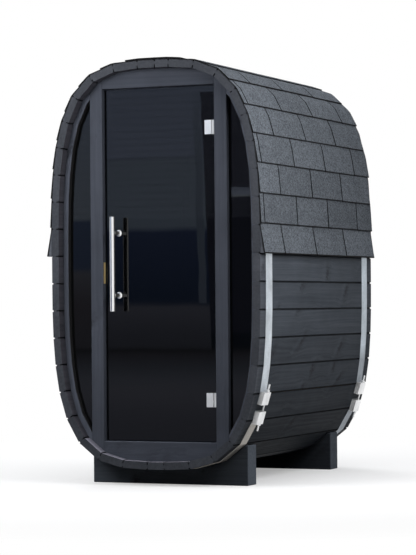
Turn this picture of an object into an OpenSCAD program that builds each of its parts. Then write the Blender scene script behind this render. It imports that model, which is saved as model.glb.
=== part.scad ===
// Oval stave sauna: a lying oval barrel of boards on two cradles, with a glazed front and a shingled roof.
// x runs to the right, y runs back from the front rim, z is up from the ground.

/* [Barrel] */
// Length of the barrel from front rim to rear rim
barrel_length = 1610; // [1300:10:3000]
// Width of the barrel over the boards
barrel_width = 1130; // [1000:2:1500]
// Height of the barrel over the boards
barrel_height = 2024; // [1800:2:2400]
// Squareness of the oval: 2 is an ellipse and more is squarer
oval_power = 3.4; // [2.8:0.1:4.4]
// Height of the barrel's lowest board over the ground
ground_gap = 82; // [60:1:160]
// Thickness of a wall board
board_thick = 38; // [30:1:60]
// Width that a wall board covers
board_cover = 137.2; // [100:0.1:170]
// Width that the bottom board on the centre line covers
keel_cover = 91; // [60:1:140]
// Distance of the roof's closing joint to the right of the centre line
closing_shift = 10; // [0:1:20]

/* [Front frame] */
// Depth of the front frame behind the barrel's rim
frame_inset = 52; // [30:1:90]
// Depth of the posts, header, sill and beads
frame_depth = 90; // [70:1:120]
// Width between the two door posts
door_clear = 611; // [560:1:640]
// Width of a door post
post_width = 67; // [50:1:90]
// Height of the sill over the barrel's lowest board
sill_height = 96; // [70:1:140]
// Depth of the header under the barrel's crown
header_height = 90; // [60:1:160]
// Width of the bead that holds the side glass
bead_width = 27; // [18:1:40]
// Thickness of the side glass
side_glass_thick = 8; // [6:1:12]
// Depth of the side glass behind the face of the frame
side_glass_inset = 28; // [20:1:60]
// Depth of the groove that takes the side glass
glazing_groove = 10; // [6:1:15]

/* [Door] */
// Thickness of the door glass
door_thick = 8; // [6:1:10]
// Depth of the door glass behind the face of the frame
door_inset = 28; // [22:1:40]
// Gap from the door glass to the latch post
latch_gap = 7; // [7:1:14]
// Gap over and under the door glass
door_end_gap = 5; // [5:1:12]
// Distance from the hinge post to the hinge axis
hinge_offset = 17; // [17:1:22]
// How far the door glass reaches past the hinge axis
glass_past = 5; // [0:1:5]
// Clear height over and under a hinge in the notch of the glass
notch_gap = 5; // [5:1:12]
// How far the door stop covers the edge of the glass
stop_lap = 12; // [8:1:20]
// Gap from the back of a hinge plate to the door stop
stop_gap = 5; // [5:1:10]
// Height of a hinge plate
hinge_height = 70; // [60:1:100]
// Distance from the hinge axis to the far edge of a hinge plate
hinge_width = 44; // [42:1:70]
// Thickness of a hinge plate
hinge_plate = 4; // [3:0.5:5]
// Diameter of a hinge barrel
hinge_barrel = 14; // [12:1:16]
// Diameter of the hinge pin
pin_dia = 6; // [5:0.5:8]
// Thickness of the hinge's leaf on the post
leaf_thick = 3; // [2:0.5:4]
// Distance from the door's ends to the middle of a hinge
hinge_end = 204; // [150:1:300]

/* [Handle] */
// Diameter of the outer bar
bar_dia = 27; // [25:1:38]
// Length of the outer bar
bar_length = 472; // [350:2:700]
// Distance between the stand-offs
standoff_pitch = 311; // [200:1:340]
// Distance from the glass to the middle of a bar
bar_reach = 78; // [70:1:110]
// Diameter of a stand-off
standoff_dia = 22; // [12:1:25]
// Diameter of the rosette on the glass
rosette_dia = 38; // [28:1:44]
// Thickness of the rosette
rosette_thick = 5; // [3:1:8]
// Distance of the bar from the centre line
bar_side = 229; // [180:1:240]
// Height of the middle of the bar over the ground
bar_height = 1100; // [950:5:1250]
// Reach of the inner handle
inner_reach = 55; // [45:1:80]
// Diameter of the inner handle
inner_dia = 28; // [24:1:34]

/* [Latch] */
// Height of the strike plate
strike_height = 106; // [80:1:130]
// Width of the strike plate
strike_width = 20; // [14:1:22]
// Thickness of the strike plate
strike_thick = 1.5; // [1:0.5:2]
// Height of the middle of the strike over the ground
strike_mid = 1057; // [950:1:1250]
// How far the roller stands out of the post
roller_out = 2; // [1:0.5:2]
// Diameter of the roller
roller_dia = 14; // [10:1:18]

/* [Roof] */
// Height of the roof's lower edge over the ground
eaves_height = 1142; // [1000:2:1300]
// Thickness of the shingle layer
shingle_thick = 11; // [4:0.5:14]
// Height of the batten that throws the last row out
batten_height = 130; // [60:1:150]
// Thickness of the batten at its lower edge
batten_thick = 18; // [10:1:30]

/* [Bands] */
// Width of a tension band
band_width = 82; // [50:1:90]
// Thickness of a tension band
band_thick = 1.5; // [1:0.5:2]
// Distance from the barrel's ends to a band
band_inset = 72; // [60:1:120]
// Height of the middle of a tensioner over the ground
tension_z = 392; // [350:1:440]
// Gap between the two lugs of a tensioner
lug_gap = 34; // [20:1:60]
// Length of a lug along the band
lug_length = 64; // [45:1:75]
// Height of a lug off the band
lug_rise = 24; // [18:1:32]
// Thickness of a lug's plate
lug_plate = 4; // [3:0.5:6]
// Diameter of the tension rod
rod_dia = 10; // [8:1:14]
// How far the rod runs past each lug
rod_past = 38; // [15:1:50]
// Distance of the rod from the rear edge of the lugs
rod_back = 18; // [14:1:40]
// Width of a nut across its flats
nut_flats = 17; // [14:1:22]

/* [Cradles] */
// Thickness of a cradle
cradle_thick = 110; // [70:2:140]
// Length of a cradle across the barrel
cradle_length = 846; // [760:2:960]
// Height of a cradle at its ends
cradle_height = 198; // [170:2:240]
// Distance from the barrel's ends to a cradle
cradle_inset = 168; // [160:2:260]

/* [Inside] */
// Thickness of the floor deck
deck_thick = 28; // [20:1:40]
// Height of the deck's top under the sill's top
deck_drop = 20; // [10:1:30]
// Thickness of the back wall
back_thick = 40; // [28:1:60]
// Depth of the back wall inside the rear rim
back_inset = 52; // [30:1:90]

/* [Hidden] */
$fn = 48;

half_w = barrel_width / 2;
half_h = barrel_height / 2;
oval_mid = ground_gap + half_h;

// The bar stands out in front of the rim, and the origin is under the middle of the whole.
bar_front = max(0, bar_reach + bar_dia / 2 - frame_inset - door_inset);
rim_y = (bar_front - barrel_length) / 2;
rear_y = rim_y + barrel_length;
frame_y = rim_y + frame_inset;
frame_back = frame_y + frame_depth;
door_y = frame_y + door_inset;
side_glass_y = frame_y + side_glass_inset;
back_y = rear_y - back_inset - back_thick;
sill_top = ground_gap + board_thick + sill_height;
header_under = ground_gap + barrel_height - board_thick - header_height;
deck_top = sill_top - deck_drop;

// Outline of the barrel: angle 0 is the bottom, 90 the right side and 180 the top.
steps = 720;
function squared(v) = sign(v) * pow(abs(v), 2 / oval_power);
function oval_point(a) = [half_w * squared(sin(a)), oval_mid - half_h * squared(cos(a))];
function oval_step(i) = norm(oval_point((i + 1) * 180 / steps) - oval_point(i * 180 / steps));
lengths = [for (i = 0, s = 0; i <= steps; s = s + oval_step(i), i = i + 1) [s, i * 180 / steps]];
half_girth = lengths[steps][0];
function at_length(s) = oval_point(lookup(s, lengths));

// Joints of the boards: whole boards up each side, and two narrow ones that close the crown.
least_closer = 45;
side_boards = floor((half_girth - keel_cover / 2 - least_closer) / board_cover);
side_joints = [for (k = [0 : side_boards]) at_length(keel_cover / 2 + k * board_cover)];
crown_joint = oval_point(180 - asin(pow(closing_shift / half_w, oval_power / 2)));
ring = concat(side_joints, [crown_joint],
    [for (k = [side_boards : -1 : 0]) [-side_joints[k][0], side_joints[k][1]]]);
joints = len(ring);
function joint(i) = ring[(i + joints) % joints];
function outward(i) = let (d = joint(i + 1) - joint(i)) [d[1], -d[0]] / norm(d);
function offset_joint(i, t) = let (a = outward(i - 1), b = outward(i)) joint(i) + (a + b) * t / (1 + a * b);
function offset_run(i0, i1, t) = [for (i = [i0 : i1]) offset_joint(i, t)];
function backwards(list) = [for (i = [len(list) - 1 : -1 : 0]) list[i]];

// Half width of the barrel over its boards at height z.
side_table = [for (p = side_joints) [p[1], p[0]]];
function wall_x(z) = lookup(z, side_table);

// Joints that part the barrel into groups of boards.
function cut(i) = 2 + round(i * (side_boards - 3) / 4);

module along_y(y0, y1) {
    translate([0, y1, 0]) rotate([90, 0, 0]) linear_extrude(y1 - y0) children();
}

module shell_run(i0, i1, t0, t1) {
    polygon(concat(offset_run(i0, i1, t1), backwards(offset_run(i0, i1, t0))));
}

module boards(i0, i1) {
    color("#2b2e34") along_y(rim_y, rear_y) shell_run(i0, i1, -board_thick, 0);
}

module bottom_boards() { boards(-1 - cut(0), cut(0)); }
module right_bend_boards() { boards(cut(0), cut(1)); }
module right_lower_boards() { boards(cut(1), cut(2)); }
module right_upper_boards() { boards(cut(2), cut(3)); }
module right_shoulder_boards() { boards(cut(3), cut(4)); }
module crown_boards() { boards(cut(4), joints - 1 - cut(4)); }
module left_shoulder_boards() { boards(joints - 1 - cut(4), joints - 1 - cut(3)); }
module left_upper_boards() { boards(joints - 1 - cut(3), joints - 1 - cut(2)); }
module left_lower_boards() { boards(joints - 1 - cut(2), joints - 1 - cut(1)); }
module left_bend_boards() { boards(joints - 1 - cut(1), joints - 1 - cut(0)); }

// Section of the room inside the boards, drawn in by t.
module inside(t = 0) {
    polygon(offset_run(0, joints - 1, -board_thick - t));
}

module back_wall() {
    color("#2b2e34") along_y(back_y, back_y + back_thick) inside();
}

module floor_deck() {
    color("#6b5a48") along_y(frame_back, back_y) intersection() {
        inside();
        translate([-half_w, deck_top - deck_thick]) square([barrel_width, deck_thick]);
    }
}

// Front frame
post_in = door_clear / 2;
post_out = post_in + post_width;
stop_y = door_y + door_thick + hinge_plate + stop_gap;

module frame_piece(x0, x1, z0, z1) {
    along_y(frame_y, frame_back) intersection() {
        inside();
        translate([x0, z0]) square([x1 - x0, z1 - z0]);
    }
}

module stop_piece(x0, x1, z0, z1) {
    along_y(stop_y, frame_back) intersection() {
        inside();
        translate([x0, z0]) square([x1 - x0, z1 - z0]);
    }
}

// The side glass with its edges in the grooves, on the right.
module side_pane() {
    pane_in = post_out - glazing_groove;
    along_y(side_glass_y, side_glass_y + side_glass_thick) intersection() {
        inside(bead_width - glazing_groove);
        translate([pane_in, 0]) square([half_w, barrel_height * 2]);
    }
}

module right_post_blank() {
    difference() {
        union() {
            frame_piece(post_in, post_out, 0, 2 * barrel_height);
            stop_piece(post_in - stop_lap, post_in, sill_top, header_under);
        }
        side_pane();
    }
}

module right_door_post() { color("#30343d") right_post_blank(); }
module left_door_post() { color("#30343d") mirror([1, 0, 0]) right_post_blank(); }

module header() {
    color("#30343d") {
        frame_piece(-post_in, post_in, header_under, 2 * barrel_height);
        stop_piece(-post_in + stop_lap, post_in - stop_lap, header_under - stop_lap, header_under);
    }
}

module sill() {
    color("#30343d") {
        frame_piece(-post_in, post_in, 0, sill_top);
        stop_piece(-post_in + stop_lap, post_in - stop_lap, sill_top, sill_top + stop_lap);
    }
}

module right_side_glass() { color("#101216", 0.6) side_pane(); }
module left_side_glass() { color("#101216", 0.6) mirror([1, 0, 0]) side_pane(); }

module bead_blank() {
    difference() {
        along_y(frame_y, frame_back) intersection() {
            difference() {
                inside();
                inside(bead_width);
            }
            translate([post_out, 0]) square([half_w, 2 * barrel_height]);
        }
        side_pane();
    }
}

module right_bead() { color("#30343d") bead_blank(); }
module left_bead() { color("#30343d") mirror([1, 0, 0]) bead_blank(); }

// Door
hinge_x = post_in - hinge_offset;
hinge_y = door_y + door_thick / 2;
hinge_play = 1;
clamp_thick = 3;
plate_edge = hinge_barrel / 2 + hinge_play;
notch_x = hinge_x - plate_edge - clamp_thick;
glass_right = hinge_x + glass_past;
glass_left = -post_in + latch_gap;
door_low = sill_top + door_end_gap;
door_high = header_under - door_end_gap;
upper_hinge_z = door_high - hinge_end;
lower_hinge_z = door_low + hinge_end;

// The glass is notched round each hinge.
module door_glass() {
    notch_height = hinge_height + 2 * notch_gap;
    color("#0d0f13", 0.6) difference() {
        translate([glass_left, door_y, door_low])
            cube([glass_right - glass_left, door_thick, door_high - door_low]);
        for (z = [lower_hinge_z, upper_hinge_z])
            translate([notch_x, door_y - 1, z - notch_height / 2])
                cube([glass_right - notch_x + 1, door_thick + 2, notch_height]);
    }
}

// A bar on two stand-offs and rosettes, out to -y from a face at y = 0.
module pull_bar(dia, length, reach) {
    translate([0, -reach, -length / 2]) cylinder(d = dia, h = length);
    for (z = [-standoff_pitch / 2, standoff_pitch / 2]) translate([0, 0, z]) rotate([90, 0, 0]) {
        cylinder(d = rosette_dia, h = rosette_thick);
        cylinder(d = standoff_dia, h = reach);
    }
}

module outer_handle() {
    color("#c9ccd1") translate([-bar_side, door_y, bar_height]) pull_bar(bar_dia, bar_length, bar_reach);
}

module inner_handle() {
    color("#3a2f28") translate([-bar_side, door_y + door_thick, bar_height])
        mirror([0, 1, 0]) pull_bar(inner_dia, bar_length, inner_reach);
}

// The door side of a hinge: two plates that clamp the glass, and a barrel on the axis.
knuckle = hinge_height / 3;
knuckle_gap = 0.3;
pin_play = 0.1;
module hinge_plates() {
    middle_height = knuckle - knuckle_gap;
    for (y = [door_y - hinge_plate, door_y + door_thick])
        translate([hinge_x - hinge_width, y, -hinge_height / 2])
            cube([hinge_width - plate_edge, hinge_plate, hinge_height]);
    translate([notch_x, door_y, -hinge_height / 2])
        cube([clamp_thick, door_thick, hinge_height]);
    difference() {
        union() {
            translate([hinge_x, hinge_y, 0]) cylinder(d = hinge_barrel, h = middle_height, center = true);
            translate([hinge_x - plate_edge, door_y, -middle_height / 2])
                cube([plate_edge, door_thick, middle_height]);
        }
        translate([hinge_x, hinge_y, 0]) cylinder(d = pin_dia + pin_play, h = hinge_height, center = true);
    }
}

module upper_hinge_plates() { color("#c8ccd0") translate([0, 0, upper_hinge_z]) hinge_plates(); }
module lower_hinge_plates() { color("#c8ccd0") translate([0, 0, lower_hinge_z]) hinge_plates(); }

// The post side of a hinge: a leaf as far back as the door stop, a knuckle over and under the door's
// barrel, and the pin.
module hinge_bracket() {
    leaf_y = hinge_y - hinge_barrel;
    translate([post_in - leaf_thick, leaf_y, -hinge_height / 2])
        cube([leaf_thick, stop_y - leaf_y, hinge_height]);
    translate([hinge_x, hinge_y, 0]) cylinder(d = pin_dia, h = hinge_height, center = true);
    for (z = [-hinge_height / 2, hinge_height / 2 - knuckle]) translate([hinge_x, hinge_y, z]) {
        cylinder(d = hinge_barrel, h = knuckle);
        translate([0, -door_thick / 2, 0]) cube([hinge_offset - leaf_thick, door_thick, knuckle]);
    }
}

module upper_hinge_bracket() { color("#9ea3a8") translate([0, 0, upper_hinge_z]) hinge_bracket(); }
module lower_hinge_bracket() { color("#9ea3a8") translate([0, 0, lower_hinge_z]) hinge_bracket(); }

// Strike plate on the latch post, with a roller that holds the glass.
module latch_strike() {
    strike_y = door_y - strike_width;
    color("#b08d57") {
        translate([-post_in, strike_y, strike_mid - strike_height / 2])
            cube([strike_thick, strike_width, strike_height]);
        translate([-post_in + roller_out - roller_dia / 2, strike_y + strike_width / 2, strike_mid])
            intersection() {
                cylinder(d = roller_dia, h = roller_dia, center = true);
                translate([roller_dia / 2 - roller_out, -roller_dia, -roller_dia])
                    cube([roller_out, 2 * roller_dia, 2 * roller_dia]);
            }
    }
}

// Roof: a shingle layer on the boards and bands, thrown out by a batten at the eaves.
roof_low = band_thick;
roof_high = band_thick + shingle_thick;
batten_top = eaves_height + batten_height;
first_roof_joint = len([for (p = side_joints) if (p[1] <= batten_top) p]);
last_roof_joint = joints - 1 - first_roof_joint;
function wall_point(z, t) = [wall_x(z) + t, z];
function mirrored(p) = [-p[0], p[1]];
function roof_line(t) = concat(
    [wall_point(eaves_height, t + batten_thick), wall_point(batten_top, t)],
    offset_run(first_roof_joint, last_roof_joint, t),
    [mirrored(wall_point(batten_top, t)), mirrored(wall_point(eaves_height, t + batten_thick))]);

module half_roof(side) {
    color("#4a4e57") along_y(rim_y, rear_y) intersection() {
        polygon(concat(roof_line(roof_high), backwards(roof_line(roof_low))));
        translate([side > 0 ? 0 : -barrel_width, 0]) square([barrel_width, 2 * barrel_height]);
    }
}

module right_roof() { half_roof(1); }
module left_roof() { half_roof(-1); }

module right_eaves_batten() {
    color("#26282d") along_y(rim_y, rear_y) difference() {
        polygon([
            wall_point(batten_top, roof_low),
            [0, eaves_height],
            wall_point(eaves_height, roof_low + batten_thick)]);
        polygon(offset_run(0, joints - 1, roof_low));
    }
}

module left_eaves_batten() { mirror([1, 0, 0]) right_eaves_batten(); }

// Bands: a strap round the whole barrel, open between the two lugs of its tensioner on the right side.
front_band_y = rim_y + band_inset;
rear_band_y = rear_y - band_inset - band_width;
rod_play = 0.5;
rod_rise = band_thick + lug_rise / 2;
nut_thick = 8;
tension_slope = atan2(wall_x(tension_z + 1) - wall_x(tension_z - 1), 2);

// Puts a piece on the wall at the tensioner: its x points out of the wall and its z up along it.
module at_tensioner(y) {
    translate([wall_x(tension_z), y, tension_z]) rotate([0, tension_slope, 0]) children();
}

module band(y) {
    color("#aab2b8") difference() {
        along_y(y, y + band_width) difference() {
            polygon(offset_run(0, joints - 1, band_thick));
            polygon(ring);
        }
        at_tensioner(y - 1) translate([-board_thick, 0, -lug_gap / 2])
            cube([2 * board_thick, band_width + 2, lug_gap]);
    }
}

// A folded lug, open towards the band, with a hole for the rod in each end.
module lug(y, side) {
    inner_length = lug_length - 2 * lug_plate;
    color("#d4d7d8") at_tensioner(y) translate([0, 0, side * (lug_gap + lug_length) / 2]) difference() {
        translate([band_thick, 0, -lug_length / 2]) cube([lug_rise, band_width, lug_length]);
        translate([0, lug_plate, -inner_length / 2])
            cube([band_thick + lug_rise - lug_plate, band_width - 2 * lug_plate, inner_length]);
        translate([rod_rise, band_width - rod_back, 0])
            cylinder(d = rod_dia + rod_play, h = lug_length + 2, center = true);
    }
}

module tension_rod(y) {
    lug_end = lug_gap / 2 + lug_length;
    color("#e2e4e4") at_tensioner(y) translate([rod_rise, band_width - rod_back, 0]) {
        cylinder(d = rod_dia, h = 2 * (lug_end + rod_past), center = true);
        for (z = [-lug_end - nut_thick, lug_end]) translate([0, 0, z])
            cylinder(d = nut_flats / cos(30), h = nut_thick, $fn = 6);
    }
}

module front_band() { band(front_band_y); }
module rear_band() { band(rear_band_y); }
module front_upper_lug() { lug(front_band_y, 1); }
module front_lower_lug() { lug(front_band_y, -1); }
module rear_upper_lug() { lug(rear_band_y, 1); }
module rear_lower_lug() { lug(rear_band_y, -1); }
module front_tension_rod() { tension_rod(front_band_y); }
module rear_tension_rod() { tension_rod(rear_band_y); }

// Cradles
module cradle(y) {
    color("#2b2e34") along_y(y, y + cradle_thick) difference() {
        translate([-cradle_length / 2, 0]) square([cradle_length, cradle_height]);
        polygon(ring);
    }
}

module front_cradle() { cradle(rim_y + cradle_inset); }
module rear_cradle() { cradle(rear_y - cradle_inset - cradle_thick); }

bottom_boards();
right_bend_boards();
right_lower_boards();
right_upper_boards();
right_shoulder_boards();
crown_boards();
left_shoulder_boards();
left_upper_boards();
left_lower_boards();
left_bend_boards();
back_wall();
floor_deck();
left_door_post();
right_door_post();
header();
sill();
left_side_glass();
right_side_glass();
left_bead();
right_bead();
door_glass();
outer_handle();
inner_handle();
upper_hinge_plates();
lower_hinge_plates();
upper_hinge_bracket();
lower_hinge_bracket();
latch_strike();
right_roof();
left_roof();
right_eaves_batten();
left_eaves_batten();
front_band();
front_upper_lug();
front_lower_lug();
front_tension_rod();
rear_band();
rear_upper_lug();
rear_lower_lug();
rear_tension_rod();
front_cradle();
rear_cradle();
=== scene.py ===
# %% [markdown]
# # An oval stave sauna
#
# The construction model already holds every part of this sauna at its real size: forty-one boards
# that close into a lying oval barrel, a glazed front, a shingled roof, two steel bands and two
# cradles. This lesson gives each part the finish of the real one. The construction model is loaded
# first and is never moved. Each detailed piece takes its place from it.

# %% Load the construction model
import bisect
import math
import random

import bmesh
import bpy
from mathutils import Matrix, Vector


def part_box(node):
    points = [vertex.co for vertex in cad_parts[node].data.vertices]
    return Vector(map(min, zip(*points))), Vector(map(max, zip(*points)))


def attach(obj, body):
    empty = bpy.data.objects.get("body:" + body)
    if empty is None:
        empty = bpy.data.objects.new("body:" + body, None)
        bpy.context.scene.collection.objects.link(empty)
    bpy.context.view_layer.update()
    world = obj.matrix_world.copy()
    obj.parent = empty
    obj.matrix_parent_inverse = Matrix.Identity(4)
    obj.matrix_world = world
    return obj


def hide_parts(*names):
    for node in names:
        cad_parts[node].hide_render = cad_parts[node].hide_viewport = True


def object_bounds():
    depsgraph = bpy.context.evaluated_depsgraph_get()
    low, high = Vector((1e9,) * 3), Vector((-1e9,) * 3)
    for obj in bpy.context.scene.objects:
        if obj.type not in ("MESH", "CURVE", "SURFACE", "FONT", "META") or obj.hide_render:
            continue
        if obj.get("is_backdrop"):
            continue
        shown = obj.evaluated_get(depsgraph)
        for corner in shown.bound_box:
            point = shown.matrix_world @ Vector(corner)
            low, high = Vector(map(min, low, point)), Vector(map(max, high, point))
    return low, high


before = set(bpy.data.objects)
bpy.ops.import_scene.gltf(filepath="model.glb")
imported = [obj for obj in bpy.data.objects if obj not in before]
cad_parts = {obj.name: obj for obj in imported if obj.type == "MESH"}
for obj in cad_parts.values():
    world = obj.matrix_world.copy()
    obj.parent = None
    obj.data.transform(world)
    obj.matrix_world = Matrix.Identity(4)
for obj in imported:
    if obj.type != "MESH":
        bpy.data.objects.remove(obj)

cad_box = [list(corner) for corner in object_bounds()]
print("construction box:", [[round(v, 4) for v in corner] for corner in cad_box])

# %% [markdown]
# ## The camera
#
# A long lens from twelve metres away keeps the sauna's upright lines nearly parallel. The camera
# stands at chest height, to the right of the front, and looks almost level. Its turn, its slight
# upward tilt and its roll are three rotations, multiplied in that order.

# %% Camera
CAMERA_PLACE = Vector((4.750, -11.0863, 0.900))
CAMERA_TURN = 23.44
CAMERA_TILT = 0.65
CAMERA_ROLL = -0.457
LENS = 148.93


def rotation(degrees, axis):
    return Matrix.Rotation(math.radians(degrees), 4, axis)


def new_object(name, data):
    obj = bpy.data.objects.new(name, data)
    bpy.context.scene.collection.objects.link(obj)
    return obj


camera = new_object("camera", bpy.data.cameras.new("camera"))
camera.data.lens = LENS
camera.matrix_world = (Matrix.Translation(CAMERA_PLACE) @ rotation(CAMERA_TURN, "Z")
                       @ rotation(90 + CAMERA_TILT, "X") @ rotation(CAMERA_ROLL, "Z"))
bpy.context.scene.camera = camera
bpy.context.scene.view_settings.view_transform = "Standard"
print("camera", round((CAMERA_PLACE - Vector((0, 0, 1))).length, 2), "m from the sauna's middle")

# %% [markdown]
# ## Building node trees in a script
#
# Shader trees and Geometry Nodes trees are both lists of nodes with links between their sockets.
# One small class serves for both: `add` makes a node, and a value handed to it is linked if it is a
# socket and written into the input if it is a number. The other methods are the few nodes that
# every tree needs, under short names.


# %% Node helper
class Nodes:
    """A node tree while it is being built."""

    def __init__(self, tree):
        self.tree = tree

    def add(self, kind, values=None, **settings):
        node = self.tree.nodes.new(kind)
        for name, value in settings.items():
            setattr(node, name, value)
        for name, value in (values or {}).items():
            if isinstance(value, bpy.types.NodeSocket):
                self.tree.links.new(value, node.inputs[name])
            else:
                node.inputs[name].default_value = value
        return node

    def math(self, operation, a, b=0.0):
        return self.add("ShaderNodeMath", {0: a, 1: b}, operation=operation).outputs[0]

    def plus(self, a, b):
        return self.math("ADD", a, b)

    def minus(self, a, b):
        return self.math("SUBTRACT", a, b)

    def times(self, a, b):
        return self.math("MULTIPLY", a, b)

    def over(self, a, b):
        return self.math("DIVIDE", a, b)

    def above(self, value, limit):
        """1 where a value is above a limit, and 0 elsewhere."""
        return self.math("GREATER_THAN", value, limit)

    def below(self, value, limit):
        return self.math("LESS_THAN", value, limit)

    def vector(self, operation, a, b=(0, 0, 0)):
        node = self.add("ShaderNodeVectorMath", {0: a, 1: b}, operation=operation)
        return node.outputs["Value" if operation == "LENGTH" else "Vector"]

    def split(self, vector):
        return self.add("ShaderNodeSeparateXYZ", {0: vector}).outputs

    def join(self, x=0.0, y=0.0, z=0.0):
        return self.add("ShaderNodeCombineXYZ", {0: x, 1: y, 2: z}).outputs[0]

    def spread(self, value, low, high, to_low, to_high):
        """Takes low..high to to_low..to_high, and holds the ends."""
        values = {0: value, 1: low, 2: high, 3: to_low, 4: to_high}
        return self.add("ShaderNodeMapRange", values).outputs[0]

    def noise(self, vector, scale=1.0, detail=2.0, rough=0.5):
        values = {"Vector": vector, "Scale": scale, "Detail": detail, "Roughness": rough}
        return self.add("ShaderNodeTexNoise", values).outputs["Fac"]

    def vary(self, noise, low, high):
        """Takes a noise to low..high. Noise keeps mostly between 0.3 and 0.7."""
        return self.spread(noise, 0.3, 0.7, low, high)

    def cells(self, vector, scale, scatter=1.0, **settings):
        """Voronoi cells, each with a random colour of its own."""
        values = {"Vector": vector, "Scale": scale, "Randomness": scatter}
        return self.add("ShaderNodeTexVoronoi", values, **settings).outputs

    def blend(self, share, a, b):
        """Mixes two colours."""
        return self.add("ShaderNodeMix", {0: share, 6: a, 7: b}, data_type="RGBA").outputs[2]

    def tinted(self, paint, tint):
        """Multiplies a colour by a tint."""
        return self.vector("MULTIPLY", paint, tint)

    def shade_by(self, paint, factor):
        """Makes a colour lighter or darker by a factor."""
        return self.tinted(paint, self.join(factor, factor, factor))

    def place(self):
        """The place on the object, in metres, which no camera changes."""
        return self.add("ShaderNodeTexCoord").outputs["Object"]

    def attribute(self, name, output="Fac"):
        return self.add("ShaderNodeAttribute", attribute_name=name).outputs[output]


print("node helper ready")

# %% Starting and ending a material


def new_material(name):
    """An empty material and its tree."""
    material = bpy.data.materials.new(name)
    material.use_nodes = True
    material.node_tree.nodes.clear()
    return material, Nodes(material.node_tree)


def surface(nodes, height, relief, **sockets):
    """Ends a tree in a Principled shader. The height field becomes its bump, relief metres deep."""
    values = {name.replace("_", " "): value for name, value in sockets.items()}
    bump = {"Strength": 1.0, "Distance": relief, "Height": height}
    values["Normal"] = nodes.add("ShaderNodeBump", bump).outputs[0]
    shader = nodes.add("ShaderNodeBsdfPrincipled", values)
    nodes.add("ShaderNodeOutputMaterial", {"Surface": shader.outputs[0]})


def colour(red, green, blue):
    return (red, green, blue, 1.0)


print("a colour and its alpha:", colour(0, 0, 0))

# %% [markdown]
# ## The studio
#
# The sauna stands on a plain pale floor under a wide soft sky. The sky is brightest overhead and
# fades towards the horizon, so the roof is lighter than the walls and the underside falls into
# shade. What the camera sees behind the sauna is plain white: the world's Light Path node gives
# white to camera, glossy and transmission rays, and the soft sky to all others. The floor fades
# into that white some way out, and it keeps the sauna's shadow.

# %% World and floor
# How bright the sky is at heights from -1, straight down, to 1, straight up.
SKY = [(-1.0, 0.0), (-0.1, 0.037), (0.1, 0.037), (0.2, 0.156), (0.45, 0.156), (0.65, 0.47),
       (1.0, 0.47)]
SKY_TINT = (0.96, 0.99, 1.04)
WHITE = colour(1, 1, 1)
FLOOR_SIZE = 60.0
FLOOR_FADE = (0.5, 3.4)
FLOOR_GLOW = 0.35
FLOOR_PALE = colour(0.93, 0.93, 0.935)
FLOOR_BOUNCE = colour(0.05, 0.05, 0.05)
FLOOR_SPECKLE = (0.985, 1.0)


def seen_directly(nodes):
    """1 for camera, glossy and transmission rays, and 0 for the rays that carry light."""
    path = nodes.add("ShaderNodeLightPath").outputs
    seen = nodes.math("MAXIMUM", path["Is Camera Ray"], path["Is Glossy Ray"])
    return nodes.math("MAXIMUM", seen, path["Is Transmission Ray"])


def ramp(nodes, value, stops):
    """A colour ramp: stops are places from 0 to 1 and their colours."""
    node = nodes.add("ShaderNodeValToRGB", {0: value})
    marks = node.color_ramp.elements
    while len(marks) < len(stops):
        marks.new(1.0)
    for mark, (place, shade) in zip(marks, stops):
        mark.position = place
        mark.color = shade
    return node.outputs[0]


def mix_shaders(nodes, share, a, b):
    return nodes.add("ShaderNodeMixShader", {0: share, 1: a.outputs[0], 2: b.outputs[0]})


def make_world():
    world = bpy.data.worlds.new("soft_sky")
    world.use_nodes = True
    world.node_tree.nodes.clear()
    nodes = Nodes(world.node_tree)
    height = nodes.split(nodes.add("ShaderNodeTexCoord").outputs["Generated"])[2]
    stops = [((at + 1) / 2, colour(*[level * tint for tint in SKY_TINT])) for at, level in SKY]
    glow = ramp(nodes, nodes.spread(height, -1, 1, 0, 1), stops)
    sky = nodes.add("ShaderNodeBackground", {0: glow, 1: 1.0})
    white = nodes.add("ShaderNodeBackground", {0: WHITE, 1: 1.0})
    both = mix_shaders(nodes, seen_directly(nodes), sky, white)
    nodes.add("ShaderNodeOutputWorld", {0: both.outputs[0]})
    bpy.context.scene.world = world


def mesh_of(bm, name):
    """Hands a finished bmesh over to a new mesh."""
    mesh = bpy.data.meshes.new(name)
    bm.to_mesh(mesh)
    bm.free()
    return mesh


def make_floor():
    bm = bmesh.new()
    bmesh.ops.create_grid(bm, x_segments=1, y_segments=1, size=FLOOR_SIZE / 2)
    floor = new_object("floor", mesh_of(bm, "floor"))
    material, nodes = new_material("pale_floor")
    seen = seen_directly(nodes)
    place = nodes.place()
    speckle = nodes.noise(place, scale=60.0, detail=3.0)
    paint = nodes.blend(seen, FLOOR_BOUNCE, FLOOR_PALE)
    paint = nodes.shade_by(paint, nodes.vary(speckle, *FLOOR_SPECKLE))
    matt = nodes.add("ShaderNodeBsdfDiffuse", {0: paint})
    white = nodes.add("ShaderNodeEmission", {0: WHITE, 1: 1.0})
    far = nodes.spread(nodes.vector("LENGTH", place), *FLOOR_FADE, FLOOR_GLOW, 1)
    both = mix_shaders(nodes, nodes.times(seen, far), matt, white)
    nodes.add("ShaderNodeOutputMaterial", {0: both.outputs[0]})
    floor.data.materials.append(material)
    floor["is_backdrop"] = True


make_world()
make_floor()
print("sky and floor made")

# %% [markdown]
# ## Lamps, and what the glass mirrors
#
# Five broad soft lamps help the sky. The one high in front makes the upper part of the front
# lighter than its foot, and those overhead, to the right, at the front right corner and behind
# let every side be read.
#
# Dark glass shows no colour of its own, only what stands opposite, so in a studio cards are put
# there. Flat cards stand side by side in front, slate-coloured and boarded above, blue in the
# middle and dark below, like a building across a yard. A narrow one slants like a door frame, a
# thin pale strip is a ledge, and a grey mat lies before them. All of them are seen in mirror
# reflections only: they throw no light and no shadow.

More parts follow.
